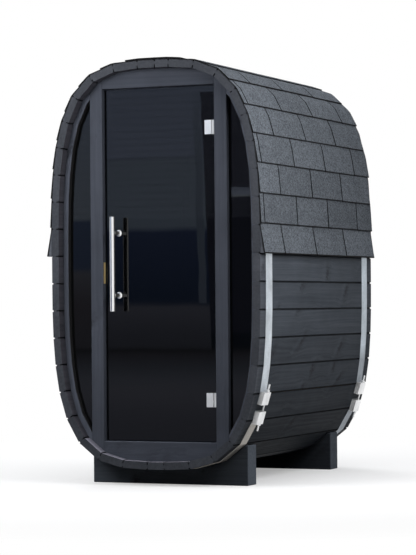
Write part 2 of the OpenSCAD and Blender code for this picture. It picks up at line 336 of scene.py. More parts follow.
# %% Lamps
# Each lamp has its place, what it is aimed at, its width and height, and its power in watts.
LAMPS = {"front_lamp": ((-1.0, -2.7, 2.1), (-0.1, -0.7, 1.6), (1.4, 1.4), 49.0),
         "top_lamp": ((0.2, -0.3, 4.6), (0.0, 0.0, 1.0), (3.0, 3.0), 62.0),
         "side_lamp": ((2.4, -0.2, 2.3), (0.5, 0.0, 1.1), (1.6, 1.6), 19.0),
         "corner_lamp": ((1.8, -1.35, 1.95), (0.4, -0.5, 1.1), (1.0, 1.0), 22.0),
         "rear_lamp": ((-2.0, 3.2, 2.5), (-0.2, 0.6, 1.1), (2.0, 2.0), 95.0)}


def facing(place, axis, track="Z"):
    """A frame at place whose track axis points along axis."""
    return Matrix.Translation(place) @ Vector(axis).to_track_quat(track, "Y").to_matrix().to_4x4()


def make_lamp(name, place, target, size, power):
    """A soft rectangular lamp. Mirror reflections leave it out, so glass shows the cards alone."""
    light = bpy.data.lights.new(name, "AREA")
    light.shape = "RECTANGLE"
    light.size, light.size_y = size
    light.energy = power
    lamp = new_object(name, light)
    lamp.matrix_world = facing(place, Vector(target) - Vector(place), "-Z")
    lamp.visible_camera = False
    lamp.visible_glossy = False


for lamp_name, lamp_values in LAMPS.items():
    make_lamp(lamp_name, *lamp_values)
print(len(LAMPS), "soft lamps")

# %% Cards
CARD_Y = -4.4
CARD_TOP = 5.0
HEAD_Z = 2.32
MAT_FROM = -1.1
MAT_Z = 0.002
BOARDING = 0.0458
BOARDING_FROM = 1.49
BOARDING_SHADOW = (0.08, 0.42, 0.20, 0)
CARD_GAIN = 1.05
SLATE = (0.44, 0.53, 0.75)
SLATE_LOW = (0.40, 0.50, 0.65)
MAT_GREY = (0.20, 0.21, 0.27)
# A card's colours are stops: a height, and the red, green and blue there.
YARD = [(0.00, 0.20, 0.21, 0.26), (0.14, 0.22, 0.23, 0.29), (0.30, 0.29, 0.30, 0.37),
        (0.39, 0.26, 0.28, 0.35), (0.47, 0.18, 0.20, 0.25), (0.55, 0.12, 0.12, 0.15),
        (0.59, 0.06, 0.06, 0.07)]
# Each card has its left and right edges, as x at the foot and at the head, its lowest and highest
# point, how far it stands behind the card line, and its stops.
CARDS = {
    "left_card": ((-9.0, -9.0), (-2.1, -2.1), (0.0, CARD_TOP), 0.00, YARD + [
        (0.61, 0.14, 0.14, 0.17), (0.90, 0.16, 0.15, 0.18), (1.12, 0.26, 0.27, 0.33),
        (1.15, 0.13, 0.18, 0.32), (1.475, 0.15, 0.21, 0.37), (1.485, 0.44, 0.53, 0.66),
        (2.05, 0.43, 0.52, 0.68), (2.30, *SLATE), (CARD_TOP, *SLATE)]),
    "wide_card": ((-2.1, -2.1), (-1.29, -1.50), (0.0, CARD_TOP), 0.00, YARD + [
        (0.61, 0.13, 0.14, 0.18), (0.72, 0.16, 0.17, 0.22), (0.86, 0.23, 0.24, 0.31),
        (0.885, 0.22, 0.23, 0.30), (0.905, 0.05, 0.08, 0.16), (0.95, 0.04, 0.07, 0.15),
        (1.40, 0.08, 0.12, 0.26), (1.412, *SLATE_LOW), (1.872, *SLATE_LOW),
        (1.877, 0.30, 0.36, 0.50), (1.885, 0.30, 0.36, 0.50), (1.890, *SLATE),
        (CARD_TOP, *SLATE)]),
    "frame_card": ((-1.393, -1.438), (-1.340, -1.385), (0.905, HEAD_Z), 0.02, [
        (0.90, 0.24, 0.29, 0.40), (1.40, 0.27, 0.34, 0.46), (1.90, 0.32, 0.40, 0.53),
        (HEAD_Z, 0.38, 0.47, 0.66)]),
    "dark_card": ((-1.52, -1.52), (-0.45, -0.45), (0.0, HEAD_Z), -0.02, YARD + [
        (0.61, 0.02, 0.03, 0.05), (0.70, 0.02, 0.03, 0.05), (0.72, 0.05, 0.055, 0.09),
        (1.61, 0.05, 0.055, 0.09), (1.65, 0.075, 0.08, 0.125), (2.10, 0.07, 0.075, 0.12),
        (HEAD_Z, 0.08, 0.09, 0.14)]),
    "strip_card": ((-1.22, -1.22), (-0.45, -0.45), (1.606, 1.668), 0.02, [
        (1.60, 0.90, 1.00, 1.00), (1.622, 0.62, 0.72, 0.95), (1.67, 0.55, 0.64, 0.85)]),
    "high_card": ((-1.52, -1.52), (-0.45, -0.45), (HEAD_Z, CARD_TOP), -0.03, [
        (HEAD_Z, *SLATE), (CARD_TOP, *SLATE)])}


def make_card(name, corners, stops):
    """A flat card that only mirror reflections see. Its colours blend from stop to stop."""
    mesh = bpy.data.meshes.new(name)
    mesh.from_pydata(corners, [], [(0, 1, 2, 3)])
    card = new_object(name, mesh)
    material, nodes = new_material(name)
    z = nodes.split(nodes.place())[2]
    stops = [(height / CARD_TOP, colour(*shade)) for height, *shade in stops]
    tint = ramp(nodes, nodes.over(z, CARD_TOP), stops)
    course = nodes.math("FRACT", nodes.over(z, BOARDING))
    shadow = nodes.times(nodes.spread(course, *BOARDING_SHADOW), nodes.above(z, BOARDING_FROM))
    tint = nodes.shade_by(tint, nodes.minus(CARD_GAIN, shadow))
    glow = nodes.add("ShaderNodeEmission", {0: tint, 1: 1.0})
    nodes.add("ShaderNodeOutputMaterial", {0: glow.outputs[0]})
    mesh.materials.append(material)
    card.visible_camera = False
    card.visible_diffuse = False
    card.visible_transmission = False
    card.visible_shadow = False
    card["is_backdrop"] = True


def make_cards():
    for name, (left, right, (low, high), behind, stops) in CARDS.items():
        y = CARD_Y + behind
        make_card(name, [(left[0], y, low), (right[0], y, low), (right[1], y, high),
                         (left[1], y, high)], stops)
    x0, x1 = CARDS["left_card"][0][0], CARDS["dark_card"][1][0]
    make_card("grey_mat", [(x0, CARD_Y, MAT_Z), (x1, CARD_Y, MAT_Z), (x1, MAT_FROM, MAT_Z),
                           (x0, MAT_FROM, MAT_Z)], [(0.0, *MAT_GREY), (CARD_TOP, *MAT_GREY)])


make_cards()
print(len(CARDS), "cards and a mat")

# %% [markdown]
# ## The oval
#
# The boards of the barrel have one width, but for a narrower one at the bottom and two that close
# the crown. The joints between them lie on a squared oval, the curve |x/a|^n + |z/b|^n = 1 with n
# at 3.4, and are found by walking up the curve from the middle of the lowest board. These sizes are
# the construction model's own, in metres.

# %% Oval and board joints
BARREL_WIDTH = 1.130
BARREL_HEIGHT = 2.024
OVAL_POWER = 3.4
GROUND_GAP = 0.082
BOARD_THICK = 0.038
BOARD_COVER = 0.1372
KEEL_COVER = 0.091
CLOSING_SHIFT = 0.010
LEAST_CLOSER = 0.045
OVAL_STEPS = 720

RIM_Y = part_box("bottom_boards")[0][1]
REAR_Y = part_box("bottom_boards")[1][1]
LENGTH = REAR_Y - RIM_Y
HALF_WIDTH = BARREL_WIDTH / 2
HALF_HEIGHT = BARREL_HEIGHT / 2
OVAL_MID = GROUND_GAP + HALF_HEIGHT


def squared(v):
    return math.copysign(abs(v) ** (2 / OVAL_POWER), v)


def oval_point(degrees):
    """A point of the oval as (x, z): 0 is the bottom, 90 the right side and 180 the top."""
    a = math.radians(degrees)
    x = HALF_WIDTH * squared(math.sin(a))
    return Vector((x, OVAL_MID - HALF_HEIGHT * squared(math.cos(a))))


def mirrored(point):
    return Vector((-point.x, point.y))


def board_joints():
    """The joints up the right side, and the whole ring of them, starting at the bottom."""
    angles = [180 * i / OVAL_STEPS for i in range(OVAL_STEPS + 1)]
    points = [oval_point(a) for a in angles]
    lengths = [0.0]
    for a, b in zip(points, points[1:]):
        lengths.append(lengths[-1] + (b - a).length)

    def at_length(s):
        i = min(bisect.bisect_right(lengths, s) - 1, OVAL_STEPS - 1)
        share = (s - lengths[i]) / (lengths[i + 1] - lengths[i])
        return oval_point(angles[i] + share * (angles[i + 1] - angles[i]))

    boards = int((lengths[-1] - KEEL_COVER / 2 - LEAST_CLOSER) / BOARD_COVER)
    side = [at_length(KEEL_COVER / 2 + k * BOARD_COVER) for k in range(boards + 1)]
    lean = math.degrees(math.asin((CLOSING_SHIFT / HALF_WIDTH) ** (OVAL_POWER / 2)))
    return side, side + [oval_point(180 - lean)] + [mirrored(p) for p in reversed(side)]


SIDE, RING = board_joints()
SIDE_BOARDS = len(SIDE) - 1
print(len(RING), "boards, the widest joint", round(max(p.x for p in RING), 4), "m from the middle")

# %% Directions and offsets on the oval


def joint(i):
    return RING[i % len(RING)]


def outward(i):
    """The direction that board i faces."""
    d = (joint(i + 1) - joint(i)).normalized()
    return Vector((d.y, -d.x))


def offset_joint(i, t):
    """Joint i, moved outwards along the mitre until both boards there are t further out."""
    a, b = outward(i - 1), outward(i)
    return joint(i) + (a + b) * t / (1 + a.dot(b))


def wall_x(z):
    """Half the barrel's width at height z."""
    for low, high in zip(SIDE, SIDE[1:]):
        if low.y <= z <= high.y:
            return low.x + (high.x - low.x) * (z - low.y) / (high.y - low.y)
    return SIDE[-1].x


print("the boards close at", round(joint(SIDE_BOARDS).y, 4), "m above the ground")

# %% [markdown]
# ## Timber
#
# Spruce shows long growth lines, fine fibres and a knot here and there. The pattern must run along
# each board and must differ from board to board, so it can't read plain object coordinates. Each
# piece of timber carries an attribute `grain` instead: the place along the board, across it and
# through it, in metres, with a jump of its own for each board. Because the pattern is solid, board
# ends show end grain with no extra work. A second attribute, `tone`, makes some boards a little
# lighter than others.
#
# A knot is a small ellipse, longer across the board and leaning a little, and the growth lines bend
# around it. Voronoi cells scatter the knots: each cell holds one, and a threshold on the cell's
# random colour leaves some out. One side of each knot catches the light as a pale streak.

# %% Knots and growth lines
KNOT_CELL = (0.46, 0.150)
KNOT_SCATTER = 0.8
KNOT_SHARE = 0.70
KNOT_RADIUS = (0.033, 0.040)
KNOT_LEAN = (-0.2, 1.6)
KNOT_RAGS = (45.0, 70.0, 0.0)
KNOT_RAGGED = (-0.6, 0.6)
GONE = 20.0
KNOT_PUSH = (1.0, 4.0, 0.3, 0.0)
DRIFT = 0.022
LINE_SCALE = (1.1, 84.0, 84.0)
FIBRE_SCALE = (14.0, 520.0, 520.0)


def knots(nodes, along, across):
    """How far the nearest knot is, and how far to its side, in knot radii, and the grain's bend."""
    place = nodes.join(nodes.over(along, KNOT_CELL[0]), nodes.over(across, KNOT_CELL[1]))
    cells = nodes.cells(place, 1.0, KNOT_SCATTER, voronoi_dimensions="2D")
    off = nodes.vector("MULTIPLY", nodes.vector("SUBTRACT", place, cells["Position"]),
                       (*KNOT_CELL, 0))
    off_along, off_across, _ = nodes.split(off)
    chance, turn, _ = nodes.split(cells["Color"])
    lean = nodes.times(off_across, nodes.spread(turn, 0, 1, *KNOT_LEAN))
    aside = nodes.over(nodes.minus(off_along, lean), KNOT_RADIUS[0])
    reach = nodes.vector("LENGTH", nodes.join(aside, nodes.over(off_across, KNOT_RADIUS[1]), 0))
    ragged = nodes.noise(nodes.vector("MULTIPLY", nodes.join(along, across, 0), KNOT_RAGS))
    reach = nodes.plus(reach, nodes.vary(ragged, *KNOT_RAGGED))
    reach = nodes.plus(reach, nodes.times(nodes.above(chance, KNOT_SHARE), GONE))
    push = nodes.times(off_across, nodes.spread(reach, *KNOT_PUSH))
    return reach, aside, push


def growth(nodes, grain):
    """The growth lines and the fibres as noises, and where the knots are."""
    along, across, through = nodes.split(grain)
    reach, aside, push = knots(nodes, along, across)
    drift = nodes.times(nodes.noise(grain, scale=2.2, detail=1.0), DRIFT)
    bent = nodes.plus(nodes.minus(across, push), drift)
    place = nodes.join(along, bent, through)
    lines = nodes.noise(nodes.vector("MULTIPLY", place, LINE_SCALE), detail=2.5, rough=0.55)
    fibres = nodes.noise(nodes.vector("MULTIPLY", place, FIBRE_SCALE))
    return lines, fibres, reach, aside


print("knots on a grid of", KNOT_CELL, "m")

# %% [markdown]
# ## Stain, dirt, painted light and shade, and the lined room
#
# Outside, the boards carry a charcoal stain. It is paler near the front edge, is painted darker
# towards the ground, a painted shade, and turns brownish on the reveal, the strip of wall in front
# of the glass. Inside the room the same boards are bare. One board has all of these, so its
# material chooses by place along the barrel and by the face attribute `room`, which marks the inner
# faces. A second face attribute, `face`, makes single faces paler or darker: tops painted paler as
# a painted highlight, dirty joints, and other painted light and shade.

# %% Timber materials
LEVEL = (0.45, 0.88, 0, 1)
FIBRE_SHARE = 0.35
PATCHES = (-0.10, 0.10)
FRONT_PALE_REACH = 0.085
FRONT_PALE_TINT = (1.60, 1.50, 1.46)
# Painted shade: the walls are painted darker towards the ground and a little paler up high.
GROUND_SHADE_Z = (0.20, 0.85)
GROUND_SHADE = (0.58, 1.08)
GROUND_SHADE_FROM_RIM = 0.03
REVEAL_TINT = (0.86, 0.78, 0.80)
KNOT_HEART = (0.2, 1.1, 0.62, 0)
KNOT_HALO = (0.8, 2.2, 0.20, 0)
KNOT_STREAK = (-1.3, -0.3, 1, 0), (0.9, 2.4, 0.26, 0)
STREAK_PALER = 2.2
FIBRE_GLOSS = 0.5
GLOSS = (0.2, 1.2)
LINE_DEPTH = 0.6
KNOT_DEPTH = 0.3
TIMBER_SHEEN = 0.015
ROOM_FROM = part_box("door_glass")[1][1]
ROOM_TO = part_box("back_wall")[0][1]


def painted_shade_and_weather(nodes, paint, front_pale, reveal):
    """Painted ground shade and tint on the reveal, then the paler front, then single faces."""
    _, y, z = nodes.split(nodes.place())
    if reveal:
        # Painted shade towards the ground, left off the rim's end faces.
        darker_to_ground = nodes.spread(z, *GROUND_SHADE_Z, 1 - GROUND_SHADE[0], 1 - GROUND_SHADE[1])
        darker_to_ground = nodes.times(darker_to_ground, nodes.spread(y, RIM_Y, RIM_Y + GROUND_SHADE_FROM_RIM, 0, 1))
        paint = nodes.shade_by(paint, nodes.minus(1.0, darker_to_ground))
        paint = nodes.blend(reveal, paint, nodes.tinted(paint, REVEAL_TINT))
    # The stain is paler within this reach of the front rim.
    edge = nodes.spread(y, RIM_Y, RIM_Y + FRONT_PALE_REACH, front_pale, 0)
    paint = nodes.blend(edge, paint, nodes.tinted(paint, FRONT_PALE_TINT))
    return nodes.shade_by(paint, nodes.attribute("face"))


def timber(name, paints, rough=(0.48, 0.62), relief=0.0010, tone=0.09, front_pale=0.0, lining=None):
    """Two paints for the growth lines and one for the knots. lining is for the room's side."""
    material, nodes = new_material(name)
    reveal = None
    if lining:
        y = nodes.split(nodes.place())[1]
        inner = nodes.attribute("room")
        inside = nodes.times(nodes.above(y, ROOM_FROM), nodes.below(y, ROOM_TO))
        reveal = nodes.times(nodes.below(y, ROOM_FROM), inner)
        inside = nodes.times(inside, inner)
        paints = [nodes.blend(inside, *pair) for pair in zip(paints, lining)]
    pale, dark, knot = paints
    grain = nodes.attribute("grain", "Vector")
    lines, fibres, reach, aside = growth(nodes, grain)
    fine = nodes.times(fibres, FIBRE_SHARE)
    level = nodes.spread(nodes.plus(lines, fine), *LEVEL)
    factor = nodes.spread(nodes.attribute("tone"), 0, 1, 1 - tone, 1 + tone)
    patches = nodes.noise(grain, scale=5.0, detail=3.0)
    factor = nodes.plus(factor, nodes.vary(patches, *PATCHES))
    paint = nodes.shade_by(nodes.blend(level, dark, pale), factor)
    paint = painted_shade_and_weather(nodes, paint, front_pale, reveal)
    heart = nodes.spread(reach, *KNOT_HEART)
    ringed = nodes.math("MAXIMUM", heart, nodes.spread(reach, *KNOT_HALO))
    paint = nodes.blend(ringed, paint, knot)
    streak = nodes.times(nodes.spread(aside, *KNOT_STREAK[0]), nodes.spread(reach, *KNOT_STREAK[1]))
    paint = nodes.blend(streak, paint, nodes.shade_by(paint, STREAK_PALER))
    gloss = nodes.plus(level, nodes.times(fibres, FIBRE_GLOSS))
    gloss = nodes.spread(gloss, *GLOSS, rough[1], rough[0])
    height = nodes.plus(nodes.times(lines, LINE_DEPTH), fine)
    height = nodes.minus(height, nodes.times(heart, KNOT_DEPTH))
    surface(nodes, height, relief, Base_Color=paint, Roughness=gloss,
            Specular_IOR_Level=TIMBER_SHEEN)
    return material


# Each finish is three paints: pale lines, dark lines and knots.
STAIN = (colour(0.063, 0.072, 0.0865), colour(0.047, 0.0545, 0.066), colour(0.020, 0.021, 0.025))
FINE_STAIN = (colour(0.064, 0.0707, 0.0895), colour(0.050, 0.0558, 0.071),
              colour(0.028, 0.030, 0.036))
SPRUCE = (colour(0.62, 0.42, 0.24), colour(0.45, 0.27, 0.13), colour(0.17, 0.08, 0.035))
ASH = (colour(0.26, 0.14, 0.07), colour(0.13, 0.065, 0.03), colour(0.05, 0.025, 0.015))
STAINED = timber("stained_spruce", STAIN, front_pale=1.0, lining=SPRUCE)
BEAM = timber("stained_beam", STAIN, tone=0.2, front_pale=1.0)
PLANED = timber("planed_spruce", FINE_STAIN, relief=0.0006, tone=0.13)
BARE = timber("bare_spruce", SPRUCE, tone=0.10)
OILED = timber("oiled_ash", ASH)
print("timber:", ", ".join(m.name for m in (STAINED, BEAM, PLANED, BARE, OILED)))

# %% [markdown]
# ## Shingles, metals and glass
#
# Roofing shingles are bitumen with crushed slate pressed into it, so the colour is a
# salt-and-pepper of greys and the relief is fine and sharp. The cut edges are bare and almost
# black, and the near-black band along the lower and side edges of each tab is partly that bare edge
# and partly a painted shadow line at each butt and in the slots. The attribute `tab` holds the
# place on each shingle in metres, and the edges are read from it. The lowest course, which leans
# out over the batten, is painted a little paler than the rest, a painted highlight.
#
# Zinc grows on hot-dipped steel as flat crystals, a Voronoi pattern whose cells differ in
# brightness and gloss. Towards their foot the bands are painted darker and tinted, a painted
# reflection of a dark ground. A ground bar has fine lines along it. Tinted glass is dark in its
# mass and keeps a clear mirror on its face, so it is a transmission shader with a dark base colour.

# %% Shingles and felt
TAB_WIDTH = 0.443
SLOT = 0.009
# How wide the near-black band is: partly bare edge, partly a painted shadow line.
EDGE_AND_SHADOW_BAND = 0.0045
EDGE_AND_SHADOW_RAMP = (EDGE_AND_SHADOW_BAND * 0.7, EDGE_AND_SHADOW_BAND * 1.3, 1, 0)
SIDE_EDGE = 2.5
GRIT_SHARE = 0.30
CLUMP_SHARE = 0.40
PEPPER_RANGE = (0.52, 1.18, 0, 1)
SHINGLE_GLOSS = (0.3, 1.2, 0.95, 0.78)
SHINGLE_RELIEF = 0.0016
SHINGLE_SHEEN = 0.05
SHINGLE_TONE = (0.90, 1.08)
SHINGLE_CLOUD = (-0.07, 0.07)
# Painted highlight: the lowest course is painted paler below these heights.
LOWEST_COURSE_LIGHT = (1.284, 1.288, 1.15, 1.0)
SLATE_DARK = colour(0.037, 0.0423, 0.050)
SLATE_PALE = colour(0.172, 0.190, 0.216)
BITUMEN_AND_SHADOW = colour(0.010, 0.010, 0.011)


def shingle_material():
    material, nodes = new_material("slate_shingle")
    place = nodes.place()
    grit = nodes.split(nodes.cells(place, 520.0)["Color"])[0]
    clump = nodes.split(nodes.cells(place, 165.0)["Color"])[0]
    pepper = nodes.noise(place, scale=110.0, detail=4.0, rough=0.75)
    level = nodes.plus(nodes.times(grit, GRIT_SHARE), pepper)
    level = nodes.plus(level, nodes.times(clump, CLUMP_SHARE))
    paint = nodes.blend(nodes.spread(level, *PEPPER_RANGE), SLATE_DARK, SLATE_PALE)
    cloud = nodes.noise(place, scale=9.0, detail=3.0)
    factor = nodes.spread(nodes.attribute("tone"), 0, 1, *SHINGLE_TONE)
    factor = nodes.plus(factor, nodes.vary(cloud, *SHINGLE_CLOUD))
    # Painted highlight on the lowest course.
    lowest_light = nodes.spread(nodes.split(place)[2], *LOWEST_COURSE_LIGHT)
    paint = nodes.shade_by(paint, nodes.times(factor, lowest_light))
    up, along, _ = nodes.split(nodes.attribute("tab", "Vector"))
    side = nodes.math("MINIMUM", along, nodes.minus(TAB_WIDTH - SLOT, along))
    edge = nodes.math("MINIMUM", up, nodes.times(side, SIDE_EDGE))
    # The near-black band: bare bitumen at the edges and a painted shadow line at each butt and
    # slot.
    paint = nodes.blend(nodes.spread(edge, *EDGE_AND_SHADOW_RAMP), paint, BITUMEN_AND_SHADOW)
    gloss = nodes.spread(level, *SHINGLE_GLOSS)
    surface(nodes, level, SHINGLE_RELIEF, Base_Color=paint, Roughness=gloss,
            Specular_IOR_Level=SHINGLE_SHEEN)
    return material


def speckled(name, scale, dark, pale, relief, rough):
    """A plain matt stuff with a fine speckle, such as felt and rubber."""
    material, nodes = new_material(name)
    sand = nodes.noise(nodes.place(), scale=scale, detail=3.0)
    gloss = nodes.spread(sand, 0.2, 0.8, *rough)
    surface(nodes, sand, relief, Base_Color=nodes.blend(sand, dark, pale), Roughness=gloss)
    return material


SHINGLE = shingle_material()
FELT = speckled("roofing_felt", 420.0, colour(0.008, 0.008, 0.009), colour(0.022, 0.022, 0.024),
                0.0006, (0.95, 0.8))
RUBBER = speckled("rubber", 300.0, colour(0.004, 0.004, 0.0045), colour(0.010, 0.010, 0.011),
                  0.0001, (0.55, 0.75))
print("roof materials and rubber ready")

# %% Metals and glass
CRYSTAL_SHARE = 0.55
STAIN_SHARE = 0.6
ZINC_LEVEL = (0.25, 0.9, 0, 1)
ZINC_GLOSS = (0.3, 1.6)
ZINC_PATCHES = (0.82, 1.14)
ZINC_RELIEF = 0.0002
# The painted reflection of the ground reaches from full, at the first height, to none at the
# second, and tints the zinc.
FRONT_FOOT_REFLECTION = (0.300, 0.345, (0.62, 0.52, 0.42))
REAR_FOOT_REFLECTION = (0.590, 0.670, (0.46, 0.46, 0.47))
FOOT_REFLECTION_SHARE = 0.9
GROUND_GLOSS = (0.6, 1.4)
GROUND_RELIEF = 0.00008
GLASS_WAVE = 0.0003
GLASS_DUST = (0.3, 0.8, 0.0, 0.035)
GLASS_CLEAR = 0.9
GLASS_IOR = 1.5


def zinc(name, pale, dark, crystal, rough, foot_reflection=None, metallic=0.85):
    """Zinc on steel: crystals of about 1 / crystal metres, with a fine roll mark over them."""
    material, nodes = new_material(name)
    place = nodes.place()
    bent = nodes.vector("ADD", place, nodes.join(nodes.noise(place, scale=90.0), 0, 0))
    cells = nodes.cells(bent, crystal)
    shine = nodes.split(cells["Color"])[0]
    stain = nodes.noise(place, scale=14.0, detail=4.0, rough=0.6)
    level = nodes.plus(nodes.times(shine, CRYSTAL_SHARE), nodes.times(stain, STAIN_SHARE))
    paint = nodes.blend(nodes.spread(level, *ZINC_LEVEL), dark, pale)
    patches = nodes.noise(place, scale=7.0, detail=2.0)
    paint = nodes.shade_by(paint, nodes.vary(patches, *ZINC_PATCHES))
    # Painted reflection: the foot is darkened and tinted as if it mirrored a dark ground.
    if foot_reflection:
        low, high, tint = foot_reflection
        foot = nodes.spread(nodes.split(place)[2], low, high, FOOT_REFLECTION_SHARE, 0)
        paint = nodes.blend(foot, paint, nodes.tinted(paint, tint))
    gloss = nodes.spread(nodes.plus(shine, stain), *ZINC_GLOSS, *rough)
    surface(nodes, nodes.plus(cells["Distance"], stain), ZINC_RELIEF, Base_Color=paint,
            Roughness=gloss, Metallic=metallic)
    return material


def ground_metal(name, pale, dark, rough, stretch, metallic=1.0):
    """Ground or drawn metal: fine lines, long in the directions where stretch is small."""
    material, nodes = new_material(name)
    place = nodes.place()
    lines = nodes.noise(nodes.vector("MULTIPLY", place, stretch), detail=3.0, rough=0.65)
    both = nodes.plus(lines, nodes.noise(place, scale=24.0, detail=3.0))
    paint = nodes.blend(nodes.times(both, 0.5), dark, pale)
    gloss = nodes.spread(both, *GROUND_GLOSS, *rough)
    surface(nodes, lines, GROUND_RELIEF, Base_Color=paint, Roughness=gloss, Metallic=metallic)
    return material


def glass_material():
    """Bronze-black safety glass. A faint waviness keeps its mirror from being perfect."""
    material, nodes = new_material("dark_glass")
    place = nodes.place()
    wave = nodes.noise(place, scale=3.5, detail=1.0)
    dust = nodes.noise(place, scale=45.0, detail=4.0, rough=0.7)
    tint = nodes.blend(dust, colour(0.010, 0.011, 0.014), colour(0.014, 0.015, 0.018))
    surface(nodes, wave, GLASS_WAVE, Base_Color=tint, Transmission_Weight=GLASS_CLEAR,
            IOR=GLASS_IOR, Roughness=nodes.spread(dust, *GLASS_DUST))
    return material


BAND_ZINC = zinc("dipped_zinc", colour(0.66, 0.71, 0.76), colour(0.46, 0.51, 0.56), 70.0,
                 (0.34, 0.52), FRONT_FOOT_REFLECTION)
REAR_ZINC = zinc("weathered_zinc", colour(0.52, 0.58, 0.64), colour(0.34, 0.39, 0.44), 55.0,
                 (0.34, 0.52), REAR_FOOT_REFLECTION)
PLATED = zinc("plated_zinc", colour(0.97, 0.97, 0.97), colour(0.80, 0.81, 0.82), 260.0,
              (0.32, 0.50), metallic=0.9)
STEEL = ground_metal("polished_steel", colour(0.95, 0.95, 0.95), colour(0.80, 0.80, 0.81),
                     (0.14, 0.26), (900, 900, 12))
SATIN = ground_metal("satin_steel", colour(0.96, 0.965, 0.965), colour(0.74, 0.75, 0.755),
                     (0.28, 0.42), (30, 900, 900), 0.6)
BRASS = ground_metal("brushed_brass", colour(0.95, 0.74, 0.36), colour(0.70, 0.50, 0.22),
                     (0.26, 0.42), (900, 900, 20), 0.5)
GLASS = glass_material()
print("materials so far:", len(bpy.data.materials))

# %% [markdown]
# ## Mesh helpers
#
# `plain_copy` takes a construction part, joins up its loose triangles into clean flat faces and
# rounds its edges, as a router or a file would. `piece` hands a finished mesh to the frame, so that
# it moves with the right body and stands for the parts that it replaces.

# %% Copying, rounding and handing over
WELD = 0.00002
FLAT = math.radians(1.0)
SHARP = math.radians(35.0)
SMOOTH_UNDER = math.radians(20.0)


def smooth_round_faces(mesh):
    """Shades round faces smooth and keeps every real edge crisp."""
    mesh.polygons.foreach_set("use_smooth", [True] * len(mesh.polygons))
    mesh.set_sharp_from_angle(angle=SMOOTH_UNDER)


def round_edges(bm, edges, width, segments=1):
    sharp = [e for e in edges if e.is_manifold and e.calc_face_angle() > SHARP]
    bmesh.ops.bevel(bm, geom=sharp, offset=width, segments=segments, profile=0.5, affect="EDGES",
                    clamp_overlap=True)


def plain_copy(node, name, width, segments=1):
    """A construction part as a clean mesh with its edges rounded."""
    bm = bmesh.new()
    bm.from_mesh(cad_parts[node].data)
    bmesh.ops.remove_doubles(bm, verts=bm.verts, dist=WELD)
    bmesh.ops.dissolve_limit(bm, angle_limit=FLAT, verts=bm.verts, edges=bm.edges)
    round_edges(bm, bm.edges, width, segments)
    copy = new_object(name, mesh_of(bm, name))
    smooth_round_faces(copy.data)
    return copy


def piece(obj, body, slot, material, *nodes):
    """Hands a finished piece over, and says what it weighs in triangles."""
    obj.data.materials.clear()
    obj.data.materials.append(material)
    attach(obj, body)
    if nodes:
        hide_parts(*nodes)
    triangles = sum(len(p.vertices) - 2 for p in obj.data.polygons)
    print(f"{obj.name}: {triangles} triangles")


print("mesh helpers ready")

# %% [markdown]
# ## Laying the grain
#
# `give_grain` writes the four attributes that the timber reads. It finds the separate boards of a
# mesh, lays the grain's axes along each, and draws its jump and its tone. Then it asks a small
# function about every face: how pale it is, and, where there is a lining, whether it looks into
# the room.

# %% Timber attributes
SQUARE_ON = 0.8
INWARD = 0.6
# Painted highlight: faces that look up are painted paler by this share.
TOP_HIGHLIGHT = 0.7
TOP_HIGHLIGHT_SLOPE = (0.3, 0.7)
GRAIN_JUMP = 40


def painted_top_light(face):
    """Faces that look up are painted paler, a painted highlight of the light from above."""
    low, high = TOP_HIGHLIGHT_SLOPE
    return 1.0 + TOP_HIGHLIGHT * min(max(face.normal.z - low, 0.0) / (high - low), 1.0)


def looks_inward(face):
    middle = Vector((-face.center.x, 0, OVAL_MID - face.center.z))
    return face.normal.dot(middle.normalized()) > INWARD


def looks_forward(face):
    return face.normal.y < -SQUARE_ON


def islands(mesh):
    """The vertices of each separate board, as lists of indices."""
    parent = list(range(len(mesh.vertices)))

    def root(i):
        while parent[i] != i:
            parent[i] = parent[parent[i]]
            i = parent[i]
        return i

    for edge in mesh.edges:
        a, b = edge.vertices
        parent[root(a)] = root(b)
    groups = {}
    for i in range(len(parent)):
        groups.setdefault(root(i), []).append(i)
    return [groups[key] for key in sorted(groups)]


def board_axes(places, u, v):
    """The middle of a board's section, and the cosine and sine of the way that it is turned."""
    mu = sum(p[u] for p in places) / len(places)
    mv = sum(p[v] for p in places) / len(places)
    uu = sum((p[u] - mu) ** 2 for p in places)
    vv = sum((p[v] - mv) ** 2 for p in places)
    uv = sum((p[u] - mu) * (p[v] - mv) for p in places)
    turn = 0.5 * math.atan2(2 * uv, uu - vv)
    return mu, mv, math.cos(turn), math.sin(turn)


def write(mesh, name, kind, domain, values):
    field = "vector" if kind == "FLOAT_VECTOR" else "value"
    mesh.attributes.new(name, kind, domain).data.foreach_set(field, values)


def give_grain(obj, along, seed, end=1.0, shade_of=painted_top_light, lined=None):
    """Writes grain, tone, face and room. The fibres follow the axis along: 0, 1 or 2."""
    mesh = obj.data
    u, v = [axis for axis in (0, 1, 2) if axis != along]
    chance = random.Random(seed)
    grain = [0.0] * (3 * len(mesh.vertices))
    tone = [0.0] * len(mesh.vertices)
    for board in islands(mesh):
        places = [mesh.vertices[i].co for i in board]
        mu, mv, c, s = board_axes(places, u, v)
        jump = [chance.uniform(0, GRAIN_JUMP) for _ in range(3)]
        shade = chance.random()
        for i, p in zip(board, places):
            du, dv = p[u] - mu, p[v] - mv
            grain[3 * i:3 * i + 3] = (p[along] + jump[0], du * c + dv * s + jump[1],
                                      dv * c - du * s + jump[2])
            tone[i] = shade
    faces = mesh.polygons
    write(mesh, "grain", "FLOAT_VECTOR", "POINT", grain)
    write(mesh, "tone", "FLOAT", "POINT", tone)
    write(mesh, "face", "FLOAT", "FACE",
          [end if abs(f.normal[along]) > SQUARE_ON else shade_of(f) for f in faces])
    write(mesh, "room", "FLOAT", "FACE", [float(bool(lined and lined(f))) for f in faces])


print("timber attributes ready")

